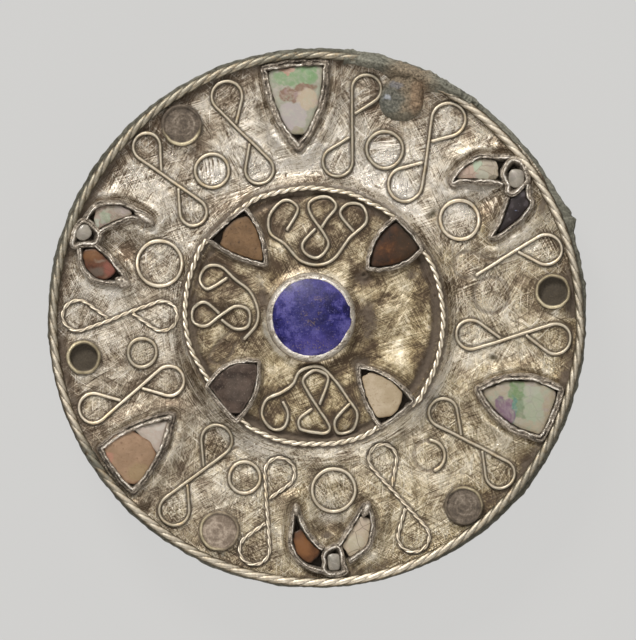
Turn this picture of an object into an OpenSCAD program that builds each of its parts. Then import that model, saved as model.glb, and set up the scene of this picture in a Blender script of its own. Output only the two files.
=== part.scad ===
// Round disc brooch of silver gilt: a flat face with wire loops and stone settings,
// a raised boss with a blue cabochon, a twisted rim wire, and a pin and catch behind.
// The disc's axis is Z, the face looks up, and the brooch rests on its pin's feet at z = 0.
// Places on the face are given as an angle from +X, turning towards +Y, and a radius.

/* [Disc] */
// Diameter of the back plate
disc_d = 75; // [74:0.5:78]
// Thickness of the back plate
plate_t = 1; // [0.8:0.1:1.4]
// Height of the flat face above the back plate
face_h = 2.8; // [2.4:0.1:3.4]
// Rise of the boss above the flat face
boss_rise = 2; // [1.6:0.1:2.6]
// Small gap left between pieces that touch
fit_gap = 0.03; // [0.02:0.01:0.05]

/* [Wires] */
// Thickness of the twisted rim wire
rim_wire_d = 1.3; // [1:0.1:1.4]
// Thickness of the twisted wire round the boss
boss_wire_d = 0.8; // [0.6:0.1:0.9]
// Thickness of the looped wires
loop_wire_d = 0.5; // [0.4:0.05:0.55]
// Thickness of the circlets' wire
circlet_wire_d = 0.55; // [0.4:0.05:0.6]
// Sides of a looped wire's section
wire_sides = 6; // [5:1:6]

/* [Settings] */
// Thickness of the settings' walls
wall_t = 0.45; // [0.35:0.05:0.5]
// Height of the walls on the flat face
wall_h = 1.7; // [1.3:0.1:2.2]
// Height of the walls on the boss
boss_wall_h = 1.5; // [1.2:0.1:2]
// Height of the round collars
cup_h = 1.2; // [1:0.1:1.6]
// Height of the middle bezel
bezel_h = 2.1; // [1.8:0.1:2.6]

/* [Stones] */
// Thickness of the flat slabs
slab_t = 0.9; // [0.7:0.1:1.1]
// Rise of the blue cabochon's dome
dome_h = 1.1; // [0.8:0.1:1.4]
// Clearance between a slab and its wall
slab_gap = 0.08; // [0.05:0.01:0.12]

/* [Pin] */
// Height of the back plate above the surface that the pin's feet stand on
stand_h = 6.8; // [6.6:0.1:7.5]
// Thickness of the needle
needle_d = 1.4; // [1.2:0.1:1.5]
// Distance from the middle of the disc to the hinge and to the catch
pin_reach = 21; // [19:0.5:23]
// Distance between the hinge's cheeks
hinge_w = 8; // [7:0.5:10]

/* [Hidden] */

size_k = disc_d / 75;
plate_r = disc_d / 2;
face_z = stand_h + plate_t + fit_gap;
field_z = face_z + face_h;
boss_z = field_z + boss_rise;
on_field = field_z + fit_gap;
on_boss = boss_z + fit_gap;

// The face's outer radius, the rim wire's radius, the boss's outer radius at its foot and its
// top, the boss wire's radius, and the groove inside it
face_r = 37.1 * size_k;
rim_r = 36.4 * size_k;
boss_foot_r = 18.7 * size_k;
boss_top_r = 18.3 * size_k;
boss_ring_r = 17.78 * size_k;
groove_r = [17.2 * size_k, 16.7 * size_k, 16 * size_k];
groove_h = 0.35;

// The boss and the blue stone sit a little off the disc's axis
boss_mid = [-0.33, 0.18] * size_k;
bezel_mid = [-0.78, 0.1] * size_k;
bezel_r = 6.15 * size_k;
cabochon_r = bezel_r - wall_t - slab_gap;

// Looped wires, one row each: outer loop's angle and radius, inner loop's angle and radius,
// the two loops' own radii, and the hand, 1 or -1, that the crossing turns
loop_rows = [
  [134.8, 33.4, 139.4, 22.5, 1.9, 1.85, -1],
  [112.1, 33.1, 111.1, 22.0, 2.1, 1.95, -1],
  [77.7, 32.4, 82.3, 21.8, 2.0, 2.05, -1],
  [56.4, 33.0, 56.5, 22.2, 2.3, 2.35, -1],
  [16.6, 33.2, 19.4, 22.1, 2.1, 1.85, -1],
  [355.0, 33.2, 353.9, 21.5, 2.1, 2.0, -1],
  [319.6, 33.3, 323.2, 21.9, 2.0, 1.95, -1],
  [293.9, 33.1, 295.2, 21.5, 2.15, 1.95, -1],
  [255.0, 33.2, 256.6, 22.0, 2.1, 2.1, -1],
  [233.5, 33.1, 230.8, 21.9, 2.1, 2.15, 1],
  [202.0, 33.3, 203.1, 22.2, 2.05, 2.05, -1],
  [179.4, 33.0, 179.2, 21.4, 2.15, 2.05, -1],
];
// Where along the crossing each tail comes back to it, as a share of the crossing
tail_share = 0.36;
// The wire whose inner loop is lost, and the share of its crossing that is left
broken_loop = 5;
broken_share = 0.97;

// Circlets: angle, radius, own radius to the wire's middle, first and last degree of the ring
circlet_rows = [
  [160.8, 23.0, 3.1, 0, 360],
  [34.4, 24.0, 2.68, 0, 360],
  [275.6, 23.9, 2.97, 0, 360],
  [125.4, 25.0, 2.33, 0, 360],
  [68.0, 25.1, 2.5, 0, 360],
  [309.3, 24.6, 2.12, -70, 86],
  [245.6, 24.2, 2.17, 0, 360],
  [191.3, 24.6, 1.95, 0, 360],
];

// Round collars: angle, radius, outer radius, inner radius, depth of the hollow inside
cup_rows = [
  [125.0, 32.6, 2.85, 2.35, 0.35],
  [69.3, 32.6, 2.55, 2.05, 0.35],
  [6.4, 32.9, 2.45, 1.95, 1],
  [308.1, 33.0, 2.7, 2.25, 0.35],
  [245.4, 32.4, 2.8, 2.3, 0.35],
  [189.6, 32.7, 2.4, 1.85, 1],
];

// Three-sided cells: angle and radius of the first outer corner, of the second and of the
// tip, then how far the outer, second and first sides bulge
tri_rows = [
  [88.0, 35.2, 101.8, 35.2, 96.2, 23.7, 0.3, 0.95, 1.2],
  [331.9, 35.2, 343.6, 35.2, 336.2, 24.5, 0.3, 1.7, 1.45],
  [211.1, 34.9, 223.4, 35.0, 214.0, 24.1, 0.4, 0.9, 0.75],
];
// The last cell's slab is in two pieces, parted by a line across the cell: its angle and
// radius, the way that it faces, and half the gap
tri_split = [215.9, 29.1, 55, 0.06];

// Leaf cells, two to a group: angle and radius of the corner by the rim, of the tip and of
// the corner at the apex, then how far the outer and the inner side bulge
leaf_rows = [
  [163.6, 34.2, 169.2, 27.0, 161.6, 32.3, 2.1, 0.45],
  [156.9, 34.6, 149.7, 26.6, 158.8, 32.3, 2.3, -0.8],
  [40.3, 33.9, 45.2, 26.4, 35.6, 31.7, 1.65, -0.3],
  [32.2, 34.6, 24.9, 26.6, 32.3, 31.3, 2.35, -0.2],
  [277.3, 34.5, 284.5, 26.8, 275.5, 31.6, 2.2, 0],
  [271.3, 34.9, 263.7, 26.2, 271.8, 32.0, 2.7, -0.75],
];
// The small cell of each group: its four corners, turning towards +Y from the outer one
nook_rows = [
  [157.0, 35.35, 163.4, 35.35, 161.7, 32.1, 158.7, 32.2],
  [33.4, 35.0, 39.2, 35.0, 38.1, 32.8, 32.8, 31.7],
  [271.8, 35.2, 276.6, 35.2, 275.7, 31.8, 272.2, 32.0],
];
// Beads in the small cells: angle, radius, half the length along and across the radius
bead_rows = [
  [159.9, 33.95, 1.0, 0.95],
  [35.5, 33.65, 0.92, 1.08],
  [274.0, 33.65, 1.15, 0.85],
];
// How far a bead's top lies below the wall's edge
bead_drop = 0.3;
// What is left of each leaf's slab lies within a circle: its angle, radius and own radius
leaf_slab_rows = [
  [165.6, 31.0, 3.6],
  [153.4, 31.6, 3.9],
  [43.2, 28.8, 4.3],
  [28.5, 30.6, 5.2],
  [280.6, 31.0, 4.4],
  [267.2, 32.4, 3.6],
];

// Boss cells: angle and radius of the first outer corner, of the second and of the tip, then
// how far the outer, second and first sides bulge
boss_cell_rows = [
  [33.3, 17.4, 51.5, 17.6, 44.2, 9.9, 0.2, 1.0, 1.1],
  [123.4, 18.1, 143.9, 18.4, 133.7, 10.3, 0.2, 0.6, 0.8],
  [212.3, 17.8, 231.8, 18.0, 217.0, 10.1, 0.2, 1.05, 1.4],
  [300.6, 17.4, 319.1, 17.6, 310.9, 8.9, 0.2, 1.0, 0.7],
];
boss_slab_rows = [
  [43.0, 14.0, 4.6],
  [132.5, 13.6, 4.1],
  [218.0, 14.3, 4.4],
  [309.0, 13.6, 3.3],
];

// Boss wires as points on their middle line, in x and y, rounded into a smooth line
top_outer_pts = [
  [-4.1, 12.2], [-2.6, 15.1], [-4.4, 16.3], [-6.45, 14.3], [-6.45, 11.8], [-4.4, 10.25],
  [-2.3, 8], [0.2, 7.3], [2.4, 8.2], [4.6, 11.1], [6.85, 13.3], [6.3, 15.5], [4.35, 15.8],
  [3.25, 14.4], [5.05, 12.05],
];
top_inner_pts = [
  [0.75, 12.6], [1.45, 13.7], [2.7, 15.4], [1.85, 16.6], [0.45, 16.75], [-1.05, 15.9],
  [-0.8, 14.25], [1, 11.65], [1.6, 10], [0.2, 8.3], [-1.6, 9], [-1.9, 10.4], [-0.2, 12.3],
];
left_outer_pts = [
  [-12.4, 5.55], [-15.05, 4], [-16.15, 5.25], [-15.3, 7.05], [-13.35, 7.2], [-11.3, 5.4],
  [-9.2, 3.6], [-8.1, 1.1], [-8.4, -1], [-10.05, -2.9],
];
left_inner_pts = [
  [-13.5, 0.7], [-15.45, 2.2], [-17.05, 1.25], [-17.05, -0.55], [-15.3, -1.1], [-13.35, 0.3],
  [-11.15, 1.65], [-9.35, 1], [-9.5, -1.1], [-11.3, -1.5], [-13.1, -0.3],
];
low_outer_pts = [
  [-4.65, -11.65], [-3.95, -13.3], [-4.5, -15.1], [-6.15, -15.35], [-7.55, -13.55],
  [-7, -11.35], [-4.8, -10.25], [-3.3, -9.15], [-2.45, -7.5], [-0.9, -6.75], [0.75, -6.9],
  [2.7, -8.85], [4.35, -11.2], [5.6, -13.3], [4.9, -15.5], [2.95, -15.9], [2.55, -14.1],
  [4.5, -11.9],
];
low_inner_pts = [
  [0.45, -11.9], [1.6, -8.5], [0.45, -7.35], [-0.65, -7.35], [-1.9, -8.6], [-1.2, -10.25],
  [0.2, -12.45], [1.3, -14.1], [1.85, -15.25], [1.3, -15.9], [0.2, -15.9], [-1.9, -15.5],
  [-2.45, -14.95], [-2.3, -13.85], [-0.65, -12.6],
];

// Steps along a loop's arc, a bulging side and each stretch of a smooth wire
arc_steps = 14;
side_steps = 6;
smooth_steps = 3;

function dir(a) = [cos(a), sin(a)];
function at(a, r) = size_k * r * dir(a);
function unit(v) = v / norm(v);
function left_of(v) = [-v[1], v[0]];

// Points on an arc from p to q that stands out by bulge on the right of the way, without q
function side_points(p, q, bulge) =
  [for (i = [0:side_steps - 1])
    let (t = i / side_steps, chord = q - p)
    p + chord * t - left_of(unit(chord)) * 4 * bulge * t * (1 - t)];

// A closed outline moved inwards by t, or outwards where t is negative
function inset(p, t) =
  let (n = len(p))
  [for (i = [0:n - 1])
    let (
      before = left_of(unit(p[i] - p[(i + n - 1) % n])),
      after = left_of(unit(p[(i + 1) % n] - p[i])),
      middle = unit(before + after)
    )
    p[i] + middle * t / max(0.45, middle * before)];

// Outline of a cell with two outer corners and a tip
function wedge_outline(row) =
  let (first = at(row[0], row[1]), second = at(row[2], row[3]), tip = at(row[4], row[5]))
  concat(
    side_points(first, second, row[6] * size_k),
    side_points(second, tip, row[7] * size_k),
    side_points(tip, first, row[8] * size_k)
  );

// Outline of a leaf, turning the same way whichever side of its group it is on
function leaf_outline(row) =
  let (
    outer = at(row[0], row[1]),
    tip = at(row[2], row[3]),
    apex = at(row[4], row[5]),
    ahead = row[2] > row[0]
  )
  ahead
    ? concat(
        side_points(outer, tip, row[6] * size_k),
        side_points(tip, apex, row[7] * size_k),
        side_points(apex, outer, 0)
      )
    : concat(
        side_points(tip, outer, row[6] * size_k),
        side_points(outer, apex, 0),
        side_points(apex, tip, row[7] * size_k)
      );

// Where the side of a cell from p to q crosses the boss's wire
function ring_crossing(p, q) =
  let (rp = norm(p - boss_mid), rq = norm(q - boss_mid))
  p + (q - p) * (rp - boss_ring_r) / (rp - rq);

function nook_outline(row) = [for (i = [0:3]) at(row[2 * i], row[2 * i + 1])];

// Smooth line through the points, passing through each of them
function smooth_line(p) =
  let (last = len(p) - 1)
  concat(
    [for (i = [0:last - 1], j = [0:smooth_steps - 1])
      let (
        t = j / smooth_steps,
        a = p[max(i - 1, 0)],
        b = p[i],
        c = p[i + 1],
        d = p[min(i + 2, last)]
      )
      b + (c - a) * t / 2 + (2 * a - 5 * b + 4 * c - d) * t * t / 2
        + (3 * b - a - 3 * c + d) * t * t * t / 2],
    [p[last]]
  );

// Middle line of a wire with a loop at each end: tail, outer loop, crossing, inner loop, tail
function loop_line(row, whole) =
  let (
    outer = at(row[0], row[1]),
    inner = at(row[2], row[3]),
    ra = row[4] * size_k,
    rb = row[5] * size_k,
    hand = row[6],
    between = inner - outer,
    lean = acos((ra + rb) / norm(between)),
    out = atan2(between[1], between[0]) + hand * lean,
    run = norm(between) * sin(lean),
    tail_gap = loop_wire_d,
    turn_a = 360 - 2 * atan(tail_share * run / ra),
    turn_b = 360 - 2 * atan(tail_share * run / rb),
    end_a = outer + ra * dir(out) + tail_share * run * dir(out - 90 * hand),
    end_b = inner - rb * dir(out) - tail_share * run * dir(out - 90 * hand),
    arc_a = [for (i = [0:arc_steps]) outer + ra * dir(out + hand * turn_a * (1 - i / arc_steps))],
    arc_b = [for (i = [0:arc_steps]) inner - rb * dir(out + hand * turn_b * i / arc_steps)],
    cross_end = arc_a[arc_steps] + (arc_b[0] - arc_a[arc_steps]) * broken_share
  )
  concat(
    [end_a + unit(arc_a[0] - end_a) * tail_gap],
    arc_a,
    whole ? arc_b : [cross_end],
    whole ? [end_b + unit(arc_b[arc_steps] - end_b) * tail_gap] : []
  );

// A round wire of a few sides along a line that lies level
module wire_along(line, d) {
  last = len(line) - 1;
  points = [for (i = [0:last])
    let (
      back = unit(line[i] - line[max(i - 1, 0)] + (i == 0 ? line[1] - line[0] : [0, 0])),
      ahead = unit(line[min(i + 1, last)] - line[i]
        + (i == last ? line[last] - line[last - 1] : [0, 0])),
      across = left_of(unit(back + ahead)),
      widen = 1 / max(0.7, across * left_of(ahead))
    )
    for (s = [0:wire_sides - 1])
      let (a = 360 * (s + 0.5) / wire_sides)
      [
        line[i][0] + across[0] * cos(a) * d / 2 * widen,
        line[i][1] + across[1] * cos(a) * d / 2 * widen,
        sin(a) * d / 2
      ]];
  sides = [for (i = [0:last - 1], s = [0:wire_sides - 1])
    let (t = (s + 1) % wire_sides, b = i * wire_sides, c = b + wire_sides)
    [b + s, c + s, c + t, b + t]];
  polyhedron(
    points,
    concat(
      sides,
      [[for (s = [0:wire_sides - 1]) s]],
      [[for (s = [wire_sides - 1:-1:0]) last * wire_sides + s]]
    ),
    convexity = 6
  );
}

module round_wire(r, d) {
  rotate_extrude($fn = 96)
    translate([r, 0])
      circle(d = d, $fn = 24);
}

module wall(outline, h) {
  linear_extrude(h)
    difference() {
      polygon(inset(outline, -wall_t / 2));
      polygon(inset(outline, wall_t / 2));
    }
}

// A slab that fills a cell as far as a circle reaches
module slab(outline, row) {
  intersection() {
    linear_extrude(slab_t)
      polygon(inset(outline, wall_t / 2 + slab_gap));
    translate(at(row[0], row[1]))
      cylinder(r = row[2] * size_k, h = slab_t, $fn = 64);
  }
}

module back_plate() {
  color([0.36, 0.37, 0.32])
    translate([0, 0, stand_h])
      cylinder(r = plate_r, h = plate_t, $fn = 180);
}

module face_plate() {
  color([0.67, 0.61, 0.49])
    union() {
      translate([0, 0, face_z])
        cylinder(r = face_r, h = face_h, $fn = 180);
      translate(boss_mid)
        rotate_extrude($fn = 180)
          polygon([
            [0, face_z + face_h / 2],
            [boss_foot_r, face_z + face_h / 2],
            [boss_foot_r, field_z],
            [boss_top_r, boss_z],
            [groove_r[0], boss_z],
            [groove_r[1], boss_z - groove_h],
            [groove_r[2], boss_z],
            [0, boss_z],
          ]);
    }
}

module rim_wire() {
  color([0.8, 0.76, 0.68])
    translate([0, 0, on_field + rim_wire_d / 2])
      round_wire(rim_r, rim_wire_d);
}

// The four cells on the boss, and the stretches of wire that are soldered between them
module boss_ring() {
  corner = side_steps;
  color([0.72, 0.68, 0.58])
    translate([0, 0, on_boss])
      union() {
        for (row = boss_cell_rows)
          wall(wedge_outline(row), boss_wall_h);
        for (i = [0:3]) {
          here = wedge_outline(boss_cell_rows[i]);
          next = wedge_outline(boss_cell_rows[(i + 1) % 4]);
          from = ring_crossing(here[corner], here[corner + 1]) - boss_mid;
          to = ring_crossing(next[0], next[3 * side_steps - 1]) - boss_mid;
          start = atan2(from[1], from[0]);
          turn = (atan2(to[1], to[0]) - start + 720) % 360;
          translate([boss_mid[0], boss_mid[1], boss_wire_d / 2])
            rotate(start)
              rotate_extrude(angle = turn, $fn = 96)
                translate([boss_ring_r, 0])
                  circle(d = boss_wire_d, $fn = 24);
        }
      }
}

module centre_bezel() {
  color([0.72, 0.68, 0.58])
    translate([bezel_mid[0], bezel_mid[1], on_boss])
      difference() {
        cylinder(r = bezel_r, h = bezel_h, $fn = 96);
        translate([0, 0, -1])
          cylinder(r = bezel_r - wall_t, h = bezel_h + 2, $fn = 96);
      }
}

module centre_stone() {
  girdle_z = bezel_h - 0.2;
  dome_r = (cabochon_r * cabochon_r + dome_h * dome_h) / (2 * dome_h);
  color([0.12, 0.12, 0.42])
    translate([bezel_mid[0], bezel_mid[1], on_boss])
      intersection() {
        cylinder(r = cabochon_r, h = girdle_z + dome_h, $fn = 96);
        translate([0, 0, girdle_z + dome_h - dome_r])
          sphere(r = dome_r, $fn = 180);
      }
}

boss_slab_colours = [[0.25, 0.13, 0.06], [0.45, 0.32, 0.2], [0.22, 0.18, 0.16], [0.72, 0.66, 0.55]];
module boss_stone(i) {
  color(boss_slab_colours[i])
    translate([0, 0, on_boss])
      slab(wedge_outline(boss_cell_rows[i]), boss_slab_rows[i]);
}

module boss_wires(lines) {
  color([0.78, 0.74, 0.66])
    translate([0, 0, on_boss + loop_wire_d / 2])
      union() {
        for (line = lines)
          wire_along(smooth_line(line * size_k), loop_wire_d);
      }
}

module tri_cell(i) {
  color([0.6, 0.56, 0.47])
    translate([0, 0, on_field])
      wall(wedge_outline(tri_rows[i]), wall_h);
}

tri_slab_colours = [[0.7, 0.66, 0.6], [0.68, 0.66, 0.62], [0.6, 0.47, 0.36], [0.8, 0.74, 0.7]];
module tri_stone(i) {
  color(tri_slab_colours[i])
    translate([0, 0, on_field])
      linear_extrude(slab_t)
        polygon(inset(wedge_outline(tri_rows[i]), wall_t / 2 + slab_gap));
}

// One part of the last cell's slab: towards the rim where way is -1, the tip where it is 1
module split_stone(way) {
  reach = 20 * size_k;
  color(tri_slab_colours[way > 0 ? 3 : 2])
    translate([0, 0, on_field])
      intersection() {
        linear_extrude(slab_t)
          polygon(inset(wedge_outline(tri_rows[2]), wall_t / 2 + slab_gap));
        translate(at(tri_split[0], tri_split[1]))
          rotate(tri_split[2])
            translate([way > 0 ? tri_split[3] : -reach - tri_split[3], -reach / 2, 0])
              cube([reach, reach, slab_t]);
      }
}

// Two leaves and the small cell between them, soldered together
module leaf_cell(g) {
  outlines = [
    leaf_outline(leaf_rows[2 * g]),
    leaf_outline(leaf_rows[2 * g + 1]),
    nook_outline(nook_rows[g])
  ];
  color([0.6, 0.56, 0.47])
    translate([0, 0, on_field])
      linear_extrude(wall_h)
        difference() {
          union() {
            for (outline = outlines)
              polygon(inset(outline, -wall_t / 2));
          }
          for (outline = outlines)
            polygon(inset(outline, wall_t / 2));
        }
}

leaf_slab_colours = [
  [0.5, 0.2, 0.1], [0.5, 0.5, 0.44], [0.68, 0.62, 0.6], [0.12, 0.1, 0.12], [0.7, 0.66, 0.6],
  [0.45, 0.22, 0.08]
];
module leaf_stone(i) {
  color(leaf_slab_colours[i])
    translate([0, 0, on_field])
      slab(leaf_outline(leaf_rows[i]), leaf_slab_rows[i]);
}

module leaf_bead(i) {
  row = bead_rows[i];
  place = at(row[0], row[1]);
  color([0.75, 0.76, 0.72])
    translate([place[0], place[1], on_field])
      rotate(row[0])
        linear_extrude(wall_h - bead_drop)
          polygon([for (a = [0:22.5:359]) [row[2] * cos(a), row[3] * sin(a)] * size_k]);
}

module cup(i) {
  row = cup_rows[i];
  place = at(row[0], row[1]);
  color(row[4] > 0.5 ? [0.4, 0.36, 0.28] : [0.52, 0.48, 0.42])
    translate([place[0], place[1], on_field])
      difference() {
        cylinder(r = row[2] * size_k, h = cup_h, $fn = 64);
        translate([0, 0, cup_h - row[4]])
          cylinder(r = row[3] * size_k, h = cup_h, $fn = 64);
      }
}

module circlet(i) {
  row = circlet_rows[i];
  place = at(row[0], row[1]);
  color([0.78, 0.74, 0.66])
    translate([place[0], place[1], on_field + circlet_wire_d / 2])
      rotate(row[3])
        rotate_extrude(angle = row[4] - row[3], $fn = 64)
          translate([row[2] * size_k, 0])
            circle(d = circlet_wire_d, $fn = 20);
}

module loop_wire(i) {
  color([0.78, 0.74, 0.66])
    translate([0, 0, on_field + loop_wire_d / 2])
      wire_along(loop_line(loop_rows[i], i != broken_loop - 1), loop_wire_d);
}

// Hinge cheeks with their feet, rod, coil and needle, and the catch that the needle lies in
module brooch_pin() {
  top_z = stand_h - fit_gap;
  cheek = [4, 1.2];
  rod_z = 3.1;
  coil_r = 2;
  needle_z = 1.5;
  hook = [4.4, 9];
  hook_t = 0.85;
  lip_h = 1.7;
  color([0.45, 0.42, 0.34])
    union() {
      for (side = [-1, 1])
        translate([-pin_reach - cheek[0] / 2, side * (hinge_w + cheek[1]) / 2 - cheek[1] / 2, 0])
          cube([cheek[0], cheek[1], top_z]);
      translate([-pin_reach, 0, rod_z])
        rotate([90, 0, 0])
          cylinder(r = coil_r, h = hinge_w + 0.2, center = true, $fn = 48);
      translate([-pin_reach, 0, needle_z])
        rotate([0, 90, 0])
          cylinder(d = needle_d, h = 2 * pin_reach, $fn = 32);
      translate([pin_reach - hook[0] / 2, -hook[1] / 2, 0])
        cube([hook[0], hook[1], hook_t]);
      translate([pin_reach - hook[0] / 2, hook[1] / 2 - hook_t, 0])
        cube([hook[0], hook_t, top_z]);
      translate([pin_reach - hook[0] / 2, -hook[1] / 2, 0])
        cube([hook[0], hook_t, lip_h]);
      translate([pin_reach - hook[0] / 2, -hook[1] / 2, top_z - hook_t])
        cube([hook[0], hook[1], hook_t]);
    }
}

back_plate();
face_plate();
rim_wire();
boss_ring();
centre_bezel();
centre_stone();
boss_stone(0);  // boss_stone_1
boss_stone(1);  // boss_stone_2
boss_stone(2);  // boss_stone_3
boss_stone(3);  // boss_stone_4
boss_wires([top_outer_pts, top_inner_pts]);  // boss_wire_1
boss_wires([left_outer_pts, left_inner_pts]);  // boss_wire_2
boss_wires([low_outer_pts, low_inner_pts]);  // boss_wire_3
tri_cell(0);  // tri_cell_1
tri_cell(1);  // tri_cell_2
tri_cell(2);  // tri_cell_3
tri_stone(0);  // tri_stone_1
tri_stone(1);  // tri_stone_2
split_stone(-1);  // tri_stone_3
split_stone(1);  // tri_stone_4
leaf_cell(0);  // leaf_cell_1
leaf_cell(1);  // leaf_cell_2
leaf_cell(2);  // leaf_cell_3
leaf_stone(0);  // leaf_stone_1
leaf_stone(1);  // leaf_stone_2
leaf_stone(2);  // leaf_stone_3
leaf_stone(3);  // leaf_stone_4
leaf_stone(4);  // leaf_stone_5
leaf_stone(5);  // leaf_stone_6
leaf_bead(0);  // leaf_bead_1
leaf_bead(1);  // leaf_bead_2
leaf_bead(2);  // leaf_bead_3
cup(0);  // cup_1
cup(1);  // cup_2
cup(2);  // cup_3
cup(3);  // cup_4
cup(4);  // cup_5
cup(5);  // cup_6
circlet(0);  // circlet_1
circlet(1);  // circlet_2
circlet(2);  // circlet_3
circlet(3);  // circlet_4
circlet(4);  // circlet_5
circlet(5);  // circlet_6
circlet(6);  // circlet_7
circlet(7);  // circlet_8
loop_wire(0);  // loop_wire_1
loop_wire(1);  // loop_wire_2
loop_wire(2);  // loop_wire_3
loop_wire(3);  // loop_wire_4
loop_wire(4);  // loop_wire_5
loop_wire(5);  // loop_wire_6
loop_wire(6);  // loop_wire_7
loop_wire(7);  // loop_wire_8
loop_wire(8);  // loop_wire_9
loop_wire(9);  // loop_wire_10
loop_wire(10);  // loop_wire_11
loop_wire(11);  // loop_wire_12
brooch_pin();
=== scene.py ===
# Looks of the disc brooch: a worn silver gilt face with filigree wires, stone settings and a
# raised boss round a blue cabochon. Lengths here are in millimetres, angles in degrees from +X.
import math

import bpy
import numpy as np
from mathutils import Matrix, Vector, kdtree


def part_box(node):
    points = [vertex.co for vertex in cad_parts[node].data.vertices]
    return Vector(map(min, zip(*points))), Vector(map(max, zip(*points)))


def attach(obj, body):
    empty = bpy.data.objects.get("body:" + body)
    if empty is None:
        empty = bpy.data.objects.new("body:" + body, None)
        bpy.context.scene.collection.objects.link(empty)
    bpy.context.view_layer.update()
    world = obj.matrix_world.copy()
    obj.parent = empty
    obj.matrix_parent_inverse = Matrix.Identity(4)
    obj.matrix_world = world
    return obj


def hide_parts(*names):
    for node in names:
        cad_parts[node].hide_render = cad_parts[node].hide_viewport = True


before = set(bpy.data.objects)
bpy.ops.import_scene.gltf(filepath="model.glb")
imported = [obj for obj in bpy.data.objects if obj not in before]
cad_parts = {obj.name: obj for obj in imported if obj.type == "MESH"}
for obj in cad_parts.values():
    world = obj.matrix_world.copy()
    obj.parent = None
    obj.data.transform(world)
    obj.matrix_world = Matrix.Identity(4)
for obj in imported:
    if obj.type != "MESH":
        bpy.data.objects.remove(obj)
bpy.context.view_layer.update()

mm = 0.001
full = 2 * math.pi


def nodeBox(node):
    low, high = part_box(node)
    return np.array(low) / mm, np.array(high) / mm


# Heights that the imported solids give
clearance = 0.03  # under what lies on the sheet
rimHalf = 0.65
levels = {
    "field": nodeBox("circlet_1")[0][2] - clearance,
    "boss": nodeBox("boss_stone_1")[0][2] - clearance,
    "plateLow": nodeBox("back_plate")[0][2],
    "rimMiddle": nodeBox("rim_wire")[0][2] + rimHalf,
}
bossMid = np.array([-0.33, 0.18])
bezelMid = np.array([-0.78, 0.1])


# Shapes worked out in the plane

def turnTo(angle):
    a = np.radians(angle)
    return np.stack([np.cos(a), np.sin(a)], -1)


def polar(angle, radius):
    return radius * turnTo(angle)


noiseTable = np.random.default_rng(11).uniform(-1, 1, 8192)
seeds = {
    "circlet": 40, "collar": 50, "bossWire": 60, "loopThick": 70, "circletThick": 90, "bossThick": 100,
    "triWall": 120, "leafWall": 130, "nookWall": 140, "bossWall": 150, "triSlab": 160, "plainSlab": 170,
    "leafSlab": 180, "bossSlab": 190, "bead": 200, "leafTip": 205,
}


def noise(x, y, z, size, seed=0):  # smooth and seeded, from -1 to 1
    total = 0
    parts = []
    for value, shift in ((x, 13.7), (y, 71.3), (z, 37.9)):
        value = np.asarray(value, float) / size + shift + seed * 9.17
        cell = np.floor(value).astype(np.int64)
        part = value - cell
        parts.append((cell, part * part * (3 - 2 * part)))
    (cx, fx), (cy, fy), (cz, fz) = parts
    for i in (0, 1):
        for j in (0, 1):
            for k in (0, 1):
                place = ((cx + i) * 73856093) ^ ((cy + j) * 19349663) ^ ((cz + k) * 83492791)
                weight = (fx if i else 1 - fx) * (fy if j else 1 - fy) * (fz if k else 1 - fz)
                total = total + noiseTable[place & 8191] * weight
    return total


def fractal(x, y, z, size, octaves=3, seed=0):
    total = 0
    share = 1.0
    for octave in range(octaves):
        total = total + share * noise(x, y, z, size / 2 ** octave, seed + 3 * octave)
        share = share * 0.55
    return total


def ease(value, low, high):  # 0 below low, 1 above high
    t = np.clip((value - low) / (high - low), 0, 1)
    return t * t * (3 - 2 * t)


def spot(x, y, cx, cy, rx, ry, lean=0):  # a soft oval, 1 in its middle
    c = math.cos(math.radians(lean))
    s = math.sin(math.radians(lean))
    u = ((x - cx) * c + (y - cy) * s) / rx
    v = (-(x - cx) * s + (y - cy) * c) / ry
    return np.exp(-(u * u + v * v))


def spots(x, y, rows):  # soft ovals added up: amount, then what spot takes
    return sum(amount * spot(x, y, *row) for amount, *row in rows)


def bump(value, at, wide):  # 1 at the place, fading on both sides
    return np.exp(-((value - at) / wide) ** 2)


def swells(angle, rows):  # bumps added up: amount, angle, width
    return sum(amount * bump(angle, at, wide) for amount, at, wide in rows)


def unit(rows):
    return rows / np.linalg.norm(rows, axis=1)[:, None]


def wayAlong(p, closed):  # directions along a line
    return unit(np.roll(p, -1, axis=0) - np.roll(p, 1, axis=0) if closed else np.gradient(p, axis=0))


def roundNoise(turn, scale, z, seed):  # noise that closes on itself round a circle
    return noise(np.cos(turn) * scale, np.sin(turn) * scale, z, 1.0, seed)


def smoothPath(points, steps=8, closed=False):
    p = np.asarray(points, float)
    n = len(p)
    made = []
    for i in range(n if closed else n - 1):
        if closed:
            a, b, c, d = p[(i - 1) % n], p[i], p[(i + 1) % n], p[(i + 2) % n]
        else:
            a, b, c, d = p[max(i - 1, 0)], p[i], p[i + 1], p[min(i + 2, n - 1)]
        for t in np.arange(steps) / steps:
            made.append(b + (c - a) * t / 2 + (2 * a - 5 * b + 4 * c - d) * t * t / 2
                        + (3 * b - a - 3 * c + d) * t ** 3 / 2)
    if not closed:
        made.append(p[-1])
    return np.array(made)


def evenPath(points, spacing, closed=False):  # the same line with points at even distances
    p = np.asarray(points, float)
    if closed:
        p = np.vstack([p, p[:1]])
    run = np.concatenate([[0], np.cumsum(np.linalg.norm(np.diff(p, axis=0), axis=1))])
    count = max(4, int(round(run[-1] / spacing)))
    at = np.linspace(0, run[-1], count + 1)
    if closed:
        at = at[:-1]
    return np.stack([np.interp(at, run, p[:, k]) for k in range(p.shape[1])], -1)


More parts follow.
